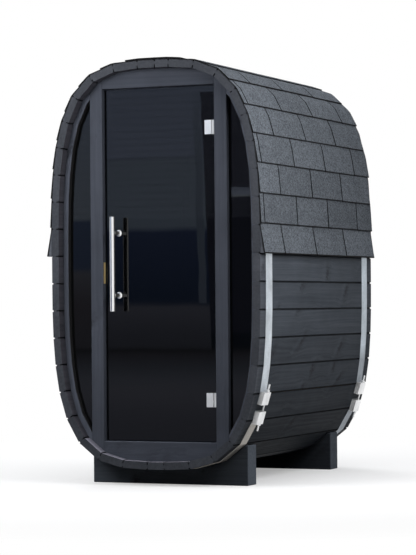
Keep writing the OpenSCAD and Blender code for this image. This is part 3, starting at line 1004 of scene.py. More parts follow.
# %% [markdown]
# ## A tree that turns sections into boards
#
# A board is its cross-section, drawn out in length. The oval rule gives the sections, each one flat
# face with its chamfers already cut. A Geometry Nodes tree does the drawing out for all of them at
# once: Extrude Mesh carries the faces back and leaves the front open, so a flipped copy of the
# sections closes it and Merge by Distance sews the seam. A small Bevel modifier after it breaks the
# edges of the ends.

# %% Starting, ending and running a tree
BREAK_OVER = math.radians(60)


def new_tree(name, *inputs):
    """A Geometry Nodes tree with its group inputs and output."""
    tree = bpy.data.node_groups.new(name, "GeometryNodeTree")
    for label, kind in (("Geometry", "Geometry"), *inputs):
        tree.interface.new_socket(label, in_out="INPUT", socket_type="NodeSocket" + kind)
    tree.interface.new_socket("Geometry", in_out="OUTPUT", socket_type="NodeSocketGeometry")
    nodes = Nodes(tree)
    return tree, nodes, nodes.add("NodeGroupInput").outputs


def random_value(nodes, low, high, seed, **more):
    """A random number between low and high for each element."""
    values = {2: low, 3: high, "Seed": seed, **more}
    return nodes.add("FunctionNodeRandomValue", values, data_type="FLOAT").outputs[1]


def extrude(nodes, mesh, offset, **selection):
    """Carries faces out by an offset. Its outputs are the mesh and which faces were carried."""
    values = {"Mesh": mesh, "Offset": offset, "Offset Scale": 1.0, "Individual": False}
    return nodes.add("GeometryNodeExtrudeMesh", {**values, **selection}, mode="FACES").outputs


def flip(nodes, mesh, selection=True):
    return nodes.add("GeometryNodeFlipFaces", {0: mesh, 1: selection}).outputs[0]


def sew(nodes, *parts):
    """Joins parts and welds the vertices where they meet."""
    joined = nodes.add("GeometryNodeJoinGeometry")
    for part in parts:
        nodes.tree.links.new(part, joined.inputs[0])
    values = {"Geometry": joined.outputs[0], "Distance": WELD}
    return nodes.add("GeometryNodeMergeByDistance", values).outputs[0]


def end_tree(nodes, geometry, material):
    """Every tree ends the same way, so that it leaves plain faces with a material."""
    real = nodes.add("GeometryNodeRealizeInstances", {0: geometry}).outputs[0]
    done = nodes.add("GeometryNodeSetMaterial", {"Geometry": real, "Material": material})
    nodes.add("NodeGroupOutput", {0: done.outputs[0]})


def grow(name, mesh, tree, values, bevel=0.0):
    """Runs a tree on a mesh, and keeps the result as a plain mesh with no modifier on it."""
    host = new_object(name, mesh)
    modifier = host.modifiers.new("grow", "NODES")
    modifier.node_group = tree
    for item in tree.interface.items_tree:
        if item.in_out == "INPUT" and item.name in values:
            modifier[item.identifier] = values[item.name]
    if bevel:
        edges = host.modifiers.new("break edges", "BEVEL")
        edges.width = bevel
        edges.segments = 1
        edges.limit_method = "ANGLE"
        edges.angle_limit = BREAK_OVER
    depsgraph = bpy.context.evaluated_depsgraph_get()
    host.data = bpy.data.meshes.new_from_object(host.evaluated_get(depsgraph))
    host.modifiers.clear()
    host.data.name = name
    smooth_round_faces(host.data)
    return host


print("tree helpers ready")

# %% Geometry Nodes: boards from sections


def boards_tree():
    tree, nodes, given = new_tree("boards_from_sections", ("Length", "Float"),
                                  ("Material", "Material"))
    sections = given["Geometry"]
    back = extrude(nodes, sections, nodes.join(0, given["Length"], 0))["Mesh"]
    end_tree(nodes, sew(nodes, back, flip(nodes, sections)), given["Material"])
    return tree


BOARDS = boards_tree()


def facing_back(bm, corners):
    """Adds a flat face that faces back."""
    face = bm.faces.new(corners)
    face.normal_update()
    if face.normal.y < 0:
        face.normal_flip()


def section_mesh(name, y, sections):
    """Separate flat faces in the plane at y, one for each section."""
    bm = bmesh.new()
    for section in sections:
        facing_back(bm, [bm.verts.new((p.x, y, p.y)) for p in section])
    return mesh_of(bm, name)


def strip_mesh(name, y, low, high):
    """One strip of four-sided faces between two lines in the plane at y."""
    bm = bmesh.new()
    rows = [[bm.verts.new((p.x, y, p.y)) for p in line] for line in (low, high)]
    for i in range(len(low) - 1):
        facing_back(bm, [rows[0][i], rows[0][i + 1], rows[1][i + 1], rows[1][i]])
    return mesh_of(bm, name)


def draw_out(name, mesh, length, material, end_break=0.0):
    """Runs the boards tree on a mesh of sections."""
    return grow(name, mesh, BOARDS, {"Length": length, "Material": material}, end_break)


print("tree:", BOARDS.name, "with", len(BOARDS.nodes), "nodes")

# %% [markdown]
# ## The barrel boards
#
# On the real sauna the boards are planed with bevelled sides, so that they close into the oval like
# the staves of a cask. The outer corners are broken by five millimetres and the inner ones by four,
# and the V-shaped joints that this leaves give the walls their lines. Behind each corner the joint
# stands open as a narrow groove, and only the middle of the boards' thickness meets. The
# construction model holds the boards in ten runs, and each run of detailed boards stands for one
# of those.

# %% The section of a board
OUTER_CHAMFER = 0.005
INNER_CHAMFER = 0.0040
GROOVE_GAP = 0.0026
GROOVE_DEPTH = (0.007, 0.014)
JOINT_GAP = 0.0001


def board_section(i):
    """The section of board i, with its mitred sides and broken corners."""
    p0, p1 = joint(i), joint(i + 1)
    q0, q1 = offset_joint(i, -BOARD_THICK), offset_joint(i + 1, -BOARD_THICK)
    over, under = (p1 - p0).normalized(), (q1 - q0).normalized()
    d0, d1 = (q0 - p0).normalized(), (q1 - p1).normalized()
    c, k, (outer, inner) = OUTER_CHAMFER, INNER_CHAMFER, GROOVE_DEPTH
    tight, wide = over * JOINT_GAP, over * GROOVE_GAP
    side1 = [p1 - over * c, p1 + d1 * c - wide, p1 + d1 * outer - wide, p1 + d1 * outer - tight,
             q1 - d1 * inner - tight, q1 - d1 * inner - wide, q1 - d1 * k - wide, q1 - under * k]
    side0 = [q0 + under * k, q0 - d0 * k + wide, q0 - d0 * inner + wide, q0 - d0 * inner + tight,
             p0 + d0 * outer + tight, p0 + d0 * outer + wide, p0 + d0 * c + wide]
    return [p0 + over * c] + side1 + side0


print("each section has", len(board_section(0)), "corners")

# %% Barrel boards
END_BREAK = 0.0002
RIM_SHADE = 0.66
NARROW = 0.022
JOINT_SHADE = 0.35
LEDGE_TOP = 0.30
LEDGE_SLOPE = 0.7
# Painted highlight: the ledge inside the front rim is painted paler by this factor.
LEDGE_HIGHLIGHT = 4.0


def stave_shade(face):
    """Dirt on the sides of the joints, and a painted highlight on the ledge inside the front rim.
    """
    if face.area < NARROW * LENGTH:
        return JOINT_SHADE
    on_ledge = face.normal.z > LEDGE_SLOPE and face.center.z < LEDGE_TOP
    return LEDGE_HIGHLIGHT if on_ledge else 1.0


def run_cut(i):
    """The joint where run i begins. Four runs share what the bottom and the crown leave."""
    return 2 + round(i * (SIDE_BOARDS - 3) / 4)


def board_runs():
    """The first and last joint of each run, by the construction part that it stands for."""
    ring = len(RING) - 1
    runs = {"bottom_boards": (-1 - run_cut(0), run_cut(0)),
            "crown_boards": (run_cut(4), ring - run_cut(4))}
    for i, part in enumerate(("bend", "lower", "upper", "shoulder")):
        a, b = run_cut(i), run_cut(i + 1)
        runs[f"right_{part}_boards"] = (a, b)
        runs[f"left_{part}_boards"] = (ring - b, ring - a)
    return runs


def make_barrel():
    for seed, (node, (first, last)) in enumerate(board_runs().items()):
        name = node.replace("boards", "staves")
        sections = section_mesh(name, RIM_Y, [board_section(i) for i in range(first, last)])
        staves = draw_out(name, sections, LENGTH, STAINED, END_BREAK)
        give_grain(staves, 1, seed, RIM_SHADE, stave_shade, looks_inward)
        piece(staves, "cabin", "stained_timber", STAINED, node)


make_barrel()

# %% [markdown]
# ## Back wall and floor
#
# The back wall is a shield of upright boards cut to the oval, and the floor is a deck of boards
# laid from front to back. Both reuse the boards tree. Their sections are slices of the oval room,
# cut by clipping a convex outline against two straight lines, which takes a few lines of code and
# no Boolean.

# %% Slices of the room
LEAST_SLICE = 0.01
ROOM = [offset_joint(i, -BOARD_THICK) for i in range(len(RING))]


def clip(outline, axis, limit, side):
    """The part of a convex outline beyond a line: below the limit for -1, above it for 1."""
    kept = []
    for a, b in zip(outline, outline[1:] + outline[:1]):
        inside_a, inside_b = [(p[axis] - limit) * side >= 0 for p in (a, b)]
        if inside_a:
            kept.append(a)
        if inside_a != inside_b:
            kept.append(a + (b - a) * ((limit - a[axis]) / (b[axis] - a[axis])))
    return kept


def slices(outline, cover, gap):
    """Upright slices of an outline, one for each board, spread evenly about the middle."""
    half = max(p.x for p in outline)
    count = math.ceil(2 * half / cover - LEAST_SLICE)
    edges = [(i - count / 2) * cover for i in range(count + 1)]
    return [clip(clip(outline, 0, a + gap, 1), 0, b - gap, -1) for a, b in zip(edges, edges[1:])]


print("the room is", round(2 * max(p.x for p in ROOM), 3), "m wide")

# %% Back wall and floor deck
# Each is its board's cover, half the gap between boards, the break of the ends, and a seed.
BACK_BOARD = (0.0951, 0.0004, 0.003, 31)
DECK_BOARD = (0.0967, 0.0025, 0.002, 32)


def make_flat_boards(name, node, outline, board, along, slot, material, lined=None):
    cover, gap, end_break, seed = board
    low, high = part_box(node)
    sections = section_mesh(name, low[1], slices(outline, cover, gap))
    boards = draw_out(name, sections, high[1] - low[1], material, end_break)
    give_grain(boards, along, seed, lined=lined)
    piece(boards, "cabin", slot, material, node)


deck_low, deck_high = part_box("floor_deck")
deck_outline = clip(clip(ROOM, 1, deck_low[2], 1), 1, deck_high[2], -1)
make_flat_boards("back_wall_boards", "back_wall", ROOM, BACK_BOARD, 2, "stained_timber", STAINED,
                 looks_forward)
make_flat_boards("deck_boards", "floor_deck", deck_outline, DECK_BOARD, 1, "deck_timber", BARE)

# %% [markdown]
# ## The front frame
#
# Two posts, a header and a sill carry the door, and a bent bead holds each side glass against the
# boards. Their shapes are right in the construction model, rebates and glazing grooves included, so
# each is copied with its edges eased by a millimetre and a half. The fibres run along each piece.
# The beads are bent from thin strips, and they are painted paler, a painted highlight.

# %% Posts, header, sill and beads
EASED = 0.0015
# Painted highlight: the beads are painted paler by this factor.
BEAD_LIGHT = 1.38
FRAME_SEED = 64
FRAME_PARTS = {"left_door_post": 2, "right_door_post": 2, "header": 0, "sill": 0, "left_bead": 2,
               "right_bead": 2}


def painted_bead_light(_):
    return BEAD_LIGHT


def make_front_frame():
    for i, (node, along) in enumerate(FRAME_PARTS.items()):
        part = plain_copy(node, "eased_" + node, EASED)
        shade_of = painted_bead_light if "bead" in node else painted_top_light
        give_grain(part, along, FRAME_SEED + i, shade_of=shade_of)
        piece(part, "cabin", "frame_timber", PLANED, node)


make_front_frame()

# %% [markdown]
# ## Gaskets
#
# A flat black gasket lines each bead, from its front edge back to the glass, and darkens the strip
# beside the glass. It follows the bead's bent edge, so its section is the strip between two inward
# offsets of the oval, cut off at the post. The boards tree gives it its depth.

# %% Gaskets
BEAD_WIDTH = 0.027
GASKET_THICK = 0.002
GASKET_INSET = 0.002


def past_post(line, post_x):
    """The part of a line beyond the post, with a new point at each cut."""
    kept = []
    for a, b in zip(line, line[1:]):
        if (a.x >= post_x) != (b.x >= post_x):
            kept.append(a + (b - a) * ((post_x - a.x) / (b.x - a.x)))
        if b.x >= post_x:
            kept.append(b)
    return kept


def make_gaskets():
    post_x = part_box("right_door_post")[1][0]
    outer = BOARD_THICK + BEAD_WIDTH
    inner = [past_post([offset_joint(i, -depth) for i in range(SIDE_BOARDS + 1)], post_x)
             for depth in (outer, outer + GASKET_THICK)]
    for side, turn in (("right", Vector), ("left", mirrored)):
        lines = [[turn(p) for p in line] for line in inner]
        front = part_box(side + "_bead")[0][1] + GASKET_INSET
        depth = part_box(side + "_side_glass")[0][1] - front
        name = side + "_gasket"
        gasket = draw_out(name, strip_mesh(name, front, *lines), depth, RUBBER)
        piece(gasket, "cabin", "frame_timber", RUBBER)


make_gaskets()

# %% [markdown]
# ## Glass
#
# The side glass sits with its edges hidden in the grooves, so the construction part serves as it is
# and only takes the glass finish. The door is a bare sheet of safety glass, and all its edges show.
# They are ground and polished to a small arris, which catches a thin line of light.

# %% Side glass and door glass
ARRIS = 0.0008


def finish_as_it_is(node, material):
    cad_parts[node].data.materials[0] = material


for glass_node in ("left_side_glass", "right_side_glass"):
    finish_as_it_is(glass_node, GLASS)
piece(plain_copy("door_glass", "door_pane", ARRIS), "door", "tinted_glass", GLASS, "door_glass")

# %% [markdown]
# ## Turned parts
#
# A bar, a stand-off, a rosette, a washer and a threaded rod are all a profile turned about an axis.
# One lathe function makes them: it walks the profile, places a ring of vertices at each point, and
# closes the ends where the radius is nothing.

# %% Lathe
TURNED_SIDES = 32


def lathe(bm, profile, place, sides=TURNED_SIDES):
    """Adds a solid of revolution. profile holds (radius, height) from the foot to the top."""
    turns = [2 * math.pi * i / sides for i in range(sides)]
    rings = []
    for radius, height in profile:
        points = [(0, 0)] if radius == 0 else [
            (radius * math.cos(t), radius * math.sin(t)) for t in turns]
        rings.append([bm.verts.new(place @ Vector((x, y, height))) for x, y in points])
    for low, high in zip(rings, rings[1:]):
        for i in range(sides):
            j = (i + 1) % sides
            corners = [low[i % len(low)], low[j % len(low)], high[j % len(high)],
                       high[i % len(high)]]
            unique = list(dict.fromkeys(corners))
            if len(unique) > 2:
                bm.faces.new(unique)


def disc(radius, height, ease):
    """The profile of a flat disc or bar with eased rims."""
    return [(0, 0), (radius - ease, 0), (radius, ease), (radius, height - ease),
            (radius - ease, height), (0, height)]


def turned(name, build):
    """A new object from lathed solids, with its faces turned outwards."""
    bm = bmesh.new()
    build(bm)
    bmesh.ops.recalc_face_normals(bm, faces=bm.faces)
    obj = new_object(name, mesh_of(bm, name))
    smooth_round_faces(obj.data)
    return obj


print("lathe ready")

# %% [markdown]
# ## The door handles
#
# Outside is a polished steel bar with a cap let into each end, on two stand-offs. Inside, where
# metal would burn a hand, is a round timber bar on the same two bolts. A thin rubber washer under
# each rosette keeps steel off the glass.

# %% Handle profiles
CAP_DEPTH = 0.007
CAP_GROOVE = 0.0006
RIM_EASE = 0.0013
CUP_STEPS = 5
CUP_RIM = 0.3
CUP_TOP = 0.55


def bar_profile(radius, length):
    """A bar with a cap let into each end: a fine groove shows where they meet."""
    half, e, g = length / 2, RIM_EASE, CAP_GROOVE
    end = [(0, half), (radius - e, half), (radius, half - e), (radius, half - CAP_DEPTH + g),
           (radius - g, half - CAP_DEPTH), (radius, half - CAP_DEPTH - g)]
    return [(r, -h) for r, h in end] + [(r, h) for r, h in reversed(end)]


def cup(radius, height):
    """The profile of a domed rosette: a short straight rim under a quarter-round shoulder."""
    rim = height * CUP_RIM
    turns = [math.pi / 2 * i / CUP_STEPS for i in range(CUP_STEPS + 1)]
    shoulder = [(radius * (CUP_TOP + (1 - CUP_TOP) * math.cos(t)),
                 rim + (height - rim) * math.sin(t)) for t in turns]
    return [(0, 0), (radius, 0)] + shoulder + [(0, height)]


print("the rosette's profile has", len(cup(1, 1)), "points")

# %% Handles
BAR_SIDE = 0.229
BAR_HEIGHT = 1.100
BAR_LENGTH = 0.472
BAR_SIDES = 48
BAR_RADIUS = 0.0135
BAR_REACH = 0.078
INNER_RADIUS = 0.014
INNER_REACH = 0.055
INNER_EASE = 0.003
INNER_SEED = 50
STANDOFF_PITCH = 0.311
STANDOFF_RADIUS = 0.011
STANDOFF_EASE = 0.0005
STANDOFF_IN_BAR = 0.9
ROSETTE_RADIUS = 0.0175
ROSETTE_THICK = 0.008
WASHER = (ROSETTE_RADIUS + 0.0008, 0.0012, 0.0003)
DOOR_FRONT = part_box("door_glass")[0][1]
DOOR_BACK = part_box("door_glass")[1][1]


def bolt_places(face_y, out):
    """Frames on the glass at the two bolts, facing out."""
    for z in (-STANDOFF_PITCH / 2, STANDOFF_PITCH / 2):
        yield facing(Vector((-BAR_SIDE, face_y, BAR_HEIGHT + z)), (0, out, 0))


def add_standoffs(bm, face_y, out, reach, bar_radius):
    """Two stand-offs with rosettes, from the glass at face_y out to the bar."""
    for place in bolt_places(face_y, out):
        lathe(bm, cup(ROSETTE_RADIUS, ROSETTE_THICK), place)
        neck = reach - bar_radius * STANDOFF_IN_BAR
        lathe(bm, disc(STANDOFF_RADIUS, neck, STANDOFF_EASE), place)


def outer_pull(bm):
    centre = Vector((-BAR_SIDE, DOOR_FRONT - BAR_REACH, BAR_HEIGHT))
    lathe(bm, bar_profile(BAR_RADIUS, BAR_LENGTH), facing(centre, (0, 0, 1)), BAR_SIDES)
    add_standoffs(bm, DOOR_FRONT, -1, BAR_REACH, BAR_RADIUS)


def inner_pull(bm):
    foot = Vector((-BAR_SIDE, DOOR_BACK + INNER_REACH, BAR_HEIGHT - BAR_LENGTH / 2))
    lathe(bm, disc(INNER_RADIUS, BAR_LENGTH, INNER_EASE), facing(foot, (0, 0, 1)))


def inner_standoffs(bm):
    add_standoffs(bm, DOOR_BACK, 1, INNER_REACH, INNER_RADIUS)


def washers(bm):
    for face_y, out in ((DOOR_FRONT, -1), (DOOR_BACK, 1)):
        for place in bolt_places(face_y, out):
            lathe(bm, disc(*WASHER), place)


piece(turned("steel_pull", outer_pull), "door", "bright_steel", STEEL, "outer_handle")
timber_pull = turned("timber_pull", inner_pull)
give_grain(timber_pull, 2, INNER_SEED)
piece(timber_pull, "door", "handle_timber", OILED, "inner_handle")
piece(turned("inner_standoffs", inner_standoffs), "door", "bright_steel", STEEL)
piece(turned("handle_washers", washers), "door", "bright_steel", RUBBER)

# %% [markdown]
# ## Screws
#
# Small fastenings repeat, so Geometry Nodes grow them. One head is built from a filled circle by
# four extrusions: the side, a narrower crown, a ring drawn inside it, and a sunk socket. Instance
# on Points sets a copy at every point of the input mesh, turned by a random amount with a fixed
# seed.

# %% Geometry Nodes: screws at points
SCREW_SIDES = 18
# How far the side rises, as a share of the head's height. For the crown and the socket, how far
# each rises, and the share that it narrows to.
SCREW_SIDE = 0.6
SCREW_CROWN = (0.4, 0.78)
SCREW_SOCKET = (-0.7, 0.55)


def screw_tree():
    tree, nodes, given = new_tree("screws", ("Radius", "Float"), ("Height", "Float"),
                                  ("Turn", "Vector"), ("Seed", "Int"), ("Material", "Material"))

    def rise(mesh, share, **selection):
        """Carries faces up by a share of the head's height."""
        offset = nodes.join(0, 0, nodes.times(given["Height"], share))
        return extrude(nodes, mesh, offset, **selection)

    def narrow(made, share):
        values = {"Geometry": made["Mesh"], "Selection": made["Top"], "Scale": share}
        return nodes.add("GeometryNodeScaleElements", values).outputs[0]

    values = {"Vertices": SCREW_SIDES, "Radius": given["Radius"]}
    foot = nodes.add("GeometryNodeMeshCircle", values, fill_type="NGON").outputs[0]
    side = rise(foot, SCREW_SIDE)
    crown = rise(side["Mesh"], SCREW_CROWN[0], Selection=side["Top"])
    inset = rise(narrow(crown, SCREW_CROWN[1]), 0.0, Selection=crown["Top"])
    sunk = rise(narrow(inset, SCREW_SOCKET[1]), SCREW_SOCKET[0], Selection=inset["Top"])
    head = sew(nodes, sunk["Mesh"], flip(nodes, foot))
    points = nodes.add("GeometryNodeMeshToPoints", {"Mesh": given["Geometry"]}).outputs[0]
    values = {"Points": points, "Instance": head, "Rotation": given["Turn"]}
    copies = nodes.add("GeometryNodeInstanceOnPoints", values).outputs[0]
    spin = nodes.join(0, 0, random_value(nodes, 0.0, math.pi, given["Seed"]))
    values = {"Instances": copies, "Rotation": spin, "Local Space": True}
    spun = nodes.add("GeometryNodeRotateInstances", values).outputs[0]
    end_tree(nodes, spun, given["Material"])
    return tree


SCREWS = screw_tree()


def make_screws(name, body, slot, material, places, turn, size, seed):
    mesh = bpy.data.meshes.new(name)
    mesh.from_pydata(places, [], [])
    values = {"Radius": size[0], "Height": size[1], "Turn": turn, "Seed": seed,
              "Material": material}
    piece(grow(name, mesh, SCREWS, values), body, slot, material)


print("tree:", SCREWS.name, "with", len(SCREWS.nodes), "nodes")

# %% [markdown]
# ## Hinges and latch
#
# Each hinge clamps the glass between two plates with two screws, and a barrel at their edge turns
# on a pin in the bracket on the post. The latch is a brass plate with a spring roller that holds
# the door shut. The construction parts are copied with fine edges, and the screws come from the
# tree.

# %% Hinges
HINGE_ARRIS = 0.0006
HINGE_SCREW = (0.0045, 0.0009)
HINGE_SCREW_IN = 0.0165
HINGE_SCREW_SPREAD = 0.27
PLATE_THICK = 0.004
TURN_TO_FRONT = (math.pi / 2, 0.0, 0.0)
TURN_TO_BACK = (-math.pi / 2, 0.0, 0.0)
TURN_TO_RIGHT = (0.0, math.pi / 2, 0.0)


def make_hinges():
    front, back = [], []
    for level in ("upper", "lower"):
        plates, bracket = level + "_hinge_plates", level + "_hinge_bracket"
        clamp = plain_copy(plates, level + "_clamp_plates", HINGE_ARRIS)
        piece(clamp, "door", "hinge_metal", SATIN, plates)
        leaf = plain_copy(bracket, level + "_post_leaf", HINGE_ARRIS / 2)
        piece(leaf, "cabin", "hinge_metal", SATIN, bracket)
        low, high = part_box(plates)
        x = low[0] + HINGE_SCREW_IN
        middle, reach = (low[2] + high[2]) / 2, (high[2] - low[2]) * HINGE_SCREW_SPREAD
        for z in (middle - reach, middle + reach):
            front.append((x, DOOR_FRONT - PLATE_THICK, z))
            back.append((x, DOOR_BACK + PLATE_THICK, z))
    for name, places, turn, seed in (("front", front, TURN_TO_FRONT, 61),
                                     ("back", back, TURN_TO_BACK, 62)):
        make_screws("hinge_screws_" + name, "door", "hinge_metal", SATIN, places, turn,
                    HINGE_SCREW, seed)


make_hinges()

# %% Latch strike
STRIKE_ARRIS = 0.0003
STRIKE_SCREW = (0.0036, 0.0006)
STRIKE_SCREW_IN = 0.012
STRIKE_FACE = 0.0015


def make_strike():
    strike = plain_copy("latch_strike", "brass_strike", STRIKE_ARRIS)
    piece(strike, "cabin", "strike_brass", BRASS, "latch_strike")
    low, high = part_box("latch_strike")
    face, y = low[0] + STRIKE_FACE, (low[1] + high[1]) / 2
    places = [(face, y, low[2] + STRIKE_SCREW_IN), (face, y, high[2] - STRIKE_SCREW_IN)]
    make_screws("strike_screws", "cabin", "strike_brass", BRASS, places, TURN_TO_RIGHT,
                STRIKE_SCREW, 63)


make_strike()

# %% [markdown]
# ## The roof
#
# Strips of shingle are nailed over a felt, each course covering the nails of the one below, and
# every other course is shifted by half a tab. A wedge-shaped batten throws the lowest course clear
# of the wall.
#
# The rule is easy to state on a flat sheet and hard to state on a bent roof. So Geometry Nodes lay
# the tabs out flat first, with x as the way up the roof, y along it and z as the thickness, and
# bend them afterwards: Sample Curve turns x into a point of the roof's line, and the thickness is
# measured outwards from there. Each tab is a thin box with cuts along its height, which lets it
# follow the bend. The last strip is laid over the crown by the same tree, given a line that runs
# from one side to the other.

# %% Roof line, battens and felt
ROOF_LOW = 0.0015
EAVES_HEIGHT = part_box("right_roof")[0][2]
BATTEN_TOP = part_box("right_eaves_batten")[1][2]
BATTEN_THICK = 0.018
BATTEN_EASE = 0.001
BATTEN_SEED = 70
FELT_THICK = 0.0011


def length_of(line):
    return sum((b - a).length for a, b in zip(line, line[1:]))


def roof_line(t):
    """The right half of the roof's line, t off the boards, from the eaves up to the middle."""
    eaves = Vector((wall_x(EAVES_HEIGHT) + t + BATTEN_THICK, EAVES_HEIGHT))
    knee = Vector((wall_x(BATTEN_TOP) + t, BATTEN_TOP))
    first = sum(1 for p in SIDE if p.y <= BATTEN_TOP)
    points = [offset_joint(i, t) for i in range(first, SIDE_BOARDS + 3)]
    # The joints run on past the middle, and the last stretch is cut there.
    while len(points) > 1 and points[-2].x <= 0:
        points.pop()
    a, b = points[-2], points[-1]
    points[-1] = a + (b - a) * (a.x / (a.x - b.x))
    return [eaves, knee] + points


def both_sides(half):
    """A line that ends in the middle, carried on down the other side."""
    return half + [mirrored(p) for p in reversed(half[:-1])]


def make_roof_base():
    for i, side in enumerate(("right", "left")):
        node = side + "_eaves_batten"
        batten = plain_copy(node, side + "_wedge_batten", BATTEN_EASE)
        give_grain(batten, 1, BATTEN_SEED + i)
        piece(batten, "cabin", "stained_timber", BEAM, node)
    low, high = [both_sides(roof_line(t)) for t in (ROOF_LOW, ROOF_LOW + FELT_THICK)]
    strip = strip_mesh("roofing_felt", RIM_Y, low, high)
    piece(draw_out("roofing_felt", strip, LENGTH, FELT), "cabin", "shingle", FELT)


make_roof_base()
LINE = roof_line(0.0)
print("way up one side of the roof:", round(length_of(LINE), 3), "m")

# %% Geometry Nodes: where the tabs lie
SLIVER = 0.012
UNEVEN_UP = 0.0012
UNEVEN_ALONG = 0.001
TAB_INPUTS = (("Rows", "Int"), ("Exposure", "Float"), ("Headlap", "Float"), ("Tab", "Float"),
              ("Slot", "Float"), ("First", "Float"), ("Shifted", "Float"), ("Front", "Float"),
              ("Length", "Float"), ("Side", "Float"), ("Run", "Float"), ("Butt", "Vector"),
              ("Head", "Vector"), ("Seed", "Int"), ("Material", "Material"))


def tab_chance(nodes, given, index, low, high, step):
    """A random number for each tab. step keeps one draw apart from another."""
    return random_value(nodes, low, high, nodes.plus(given["Seed"], step), ID=index)


def tab_points(nodes, given, index, wide):
    """One point for each tab, at its lower front corner. Slivers past the ends are left out."""
    columns = nodes.plus(nodes.math("CEIL", nodes.over(given["Length"], given["Tab"])), 1.0)
    values = {"Count": nodes.times(given["Rows"], columns)}
    points = nodes.add("GeometryNodePoints", values).outputs[0]
    row = nodes.math("FLOOR", nodes.over(nodes.plus(index, 0.5), columns))
    column = nodes.minus(index, nodes.times(row, columns))
    odd = nodes.math("FLOORED_MODULO", row, 2.0)
    shift = nodes.minus(given["Shifted"], given["First"])
    start = nodes.plus(given["First"], nodes.times(odd, shift))
    along = nodes.plus(start, nodes.times(nodes.minus(column, 1.0), given["Tab"]))
    up = tab_chance(nodes, given, index, -UNEVEN_UP, UNEVEN_UP, 1)
    up = nodes.math("MAXIMUM", nodes.plus(nodes.times(row, given["Exposure"]), up), 0.0)
    uneven = tab_chance(nodes, given, index, -UNEVEN_ALONG, UNEVEN_ALONG, 2)
    values = {"Geometry": points, "Position": nodes.join(up, nodes.plus(along, uneven), 0.0)}
    points = nodes.add("GeometryNodeSetPosition", values).outputs[0]
    before = nodes.below(nodes.plus(along, wide), SLIVER)
    after = nodes.above(along, nodes.minus(given["Length"], SLIVER))
    values = {"Geometry": points, "Selection": nodes.math("MAXIMUM", before, after)}
    return nodes.add("GeometryNodeDeleteGeometry", values).outputs[0]


print("the courses take", len(TAB_INPUTS), "values")

# %% Geometry Nodes: flat tabs
TAB_CUTS = 9


def store(nodes, geometry, name, value, kind, domain):
    """Stores a named attribute. Its value input is the one that fits the kind."""
    node = nodes.add("GeometryNodeStoreNamedAttribute", {"Geometry": geometry, "Name": name},
                     data_type=kind, domain=domain)
    fitting = "VECTOR" if kind == "FLOAT_VECTOR" else "VALUE"
    socket = next(s for s in node.inputs if s.name == "Value" and s.enabled and s.type == fitting)
    nodes.tree.links.new(value, socket)
    return node.outputs[0]


def flat_tabs(nodes, given, index, points, tall, wide, here):
    """Copies of one flat tab, a unit thick, on the points."""
    size = nodes.join(tall, wide, 1.0)
    values = {"Size": size, "Vertices X": TAB_CUTS, "Vertices Y": 2, "Vertices Z": 2}
    tab = nodes.add("GeometryNodeMeshCube", values).outputs["Mesh"]
    values = {"Geometry": tab, "Translation": nodes.vector("MULTIPLY", size, (0.5, 0.5, 0.5))}
    tab = nodes.add("GeometryNodeTransform", values).outputs[0]
    tab = store(nodes, tab, "tab", here, "FLOAT_VECTOR", "POINT")
    values = {"Points": points, "Instance": tab}
    copies = nodes.add("GeometryNodeInstanceOnPoints", values).outputs[0]
    tone = tab_chance(nodes, given, index, 0.0, 1.0, 3)
    copies = store(nodes, copies, "tone", tone, "FLOAT", "INSTANCE")
    return nodes.add("GeometryNodeRealizeInstances", {0: copies}).outputs[0]


print("each tab has", TAB_CUTS, "cuts up its height")

# %% Geometry Nodes: courses of shingles


def tapered(nodes, given, here, tall):
    """How far up the roof, how far along it and how far out of it each vertex goes."""
    up, across, thick = nodes.split(here)
    values = {"Name": "tab"}
    kept = nodes.add("GeometryNodeInputNamedAttribute", values, data_type="FLOAT_VECTOR")
    climbed = nodes.split(kept.outputs[0])[0]
    # The last course is cut at the run's end, and all courses stop at the barrel's rims.
    corner = nodes.minus(up, climbed)
    room = nodes.over(nodes.minus(given["Run"], corner), tall)
    up = nodes.plus(corner, nodes.times(climbed, nodes.math("MINIMUM", room, 1.0)))
    along = nodes.math("MINIMUM", nodes.math("MAXIMUM", across, 0.0), given["Length"])
    # The thickness tapers from the lower edge, the butt, to the head.
    share = nodes.over(climbed, tall)
    butt, head = nodes.split(given["Butt"]), nodes.split(given["Head"])
    foot, top = [nodes.spread(share, 0, 1, butt[i], head[i]) for i in (0, 1)]
    return up, along, nodes.plus(foot, nodes.times(thick, nodes.minus(top, foot)))


def on_the_roof(nodes, given, up, along, out):
    """A point of the roof's line, and outwards from there."""
    curve = nodes.add("GeometryNodeMeshToCurve", {"Mesh": given["Geometry"]}).outputs[0]
    sample = nodes.add("GeometryNodeSampleCurve", {"Curves": curve, "Length": up}, mode="LENGTH",
                       use_all_curves=True).outputs
    side = nodes.join(0, given["Side"], 0)
    upwards = nodes.vector("NORMALIZE", nodes.vector("CROSS_PRODUCT", side, sample["Tangent"]))
    outwards = nodes.vector("MULTIPLY", upwards, nodes.join(out, out, out))
    x, _, z = nodes.split(nodes.vector("ADD", sample["Position"], outwards))
    return nodes.join(x, nodes.plus(given["Front"], along), z)


def shingle_tree():
    tree, nodes, given = new_tree("shingle_courses", *TAB_INPUTS)
    index = nodes.add("GeometryNodeInputIndex").outputs[0]
    here = nodes.add("GeometryNodeInputPosition").outputs[0]
    tall = nodes.plus(given["Exposure"], given["Headlap"])
    wide = nodes.minus(given["Tab"], given["Slot"])
    points = tab_points(nodes, given, index, wide)
    flat = flat_tabs(nodes, given, index, points, tall, wide, here)
    bent = on_the_roof(nodes, given, *tapered(nodes, given, here, tall))
    roof = nodes.add("GeometryNodeSetPosition", {"Geometry": flat, "Position": bent}).outputs[0]
    # Where Side is 1, the bend is a mirror image of the flat sheet, so its faces are turned.
    roof = flip(nodes, roof, nodes.above(given["Side"], 0.0))
    end_tree(nodes, roof, given["Material"])
    return tree


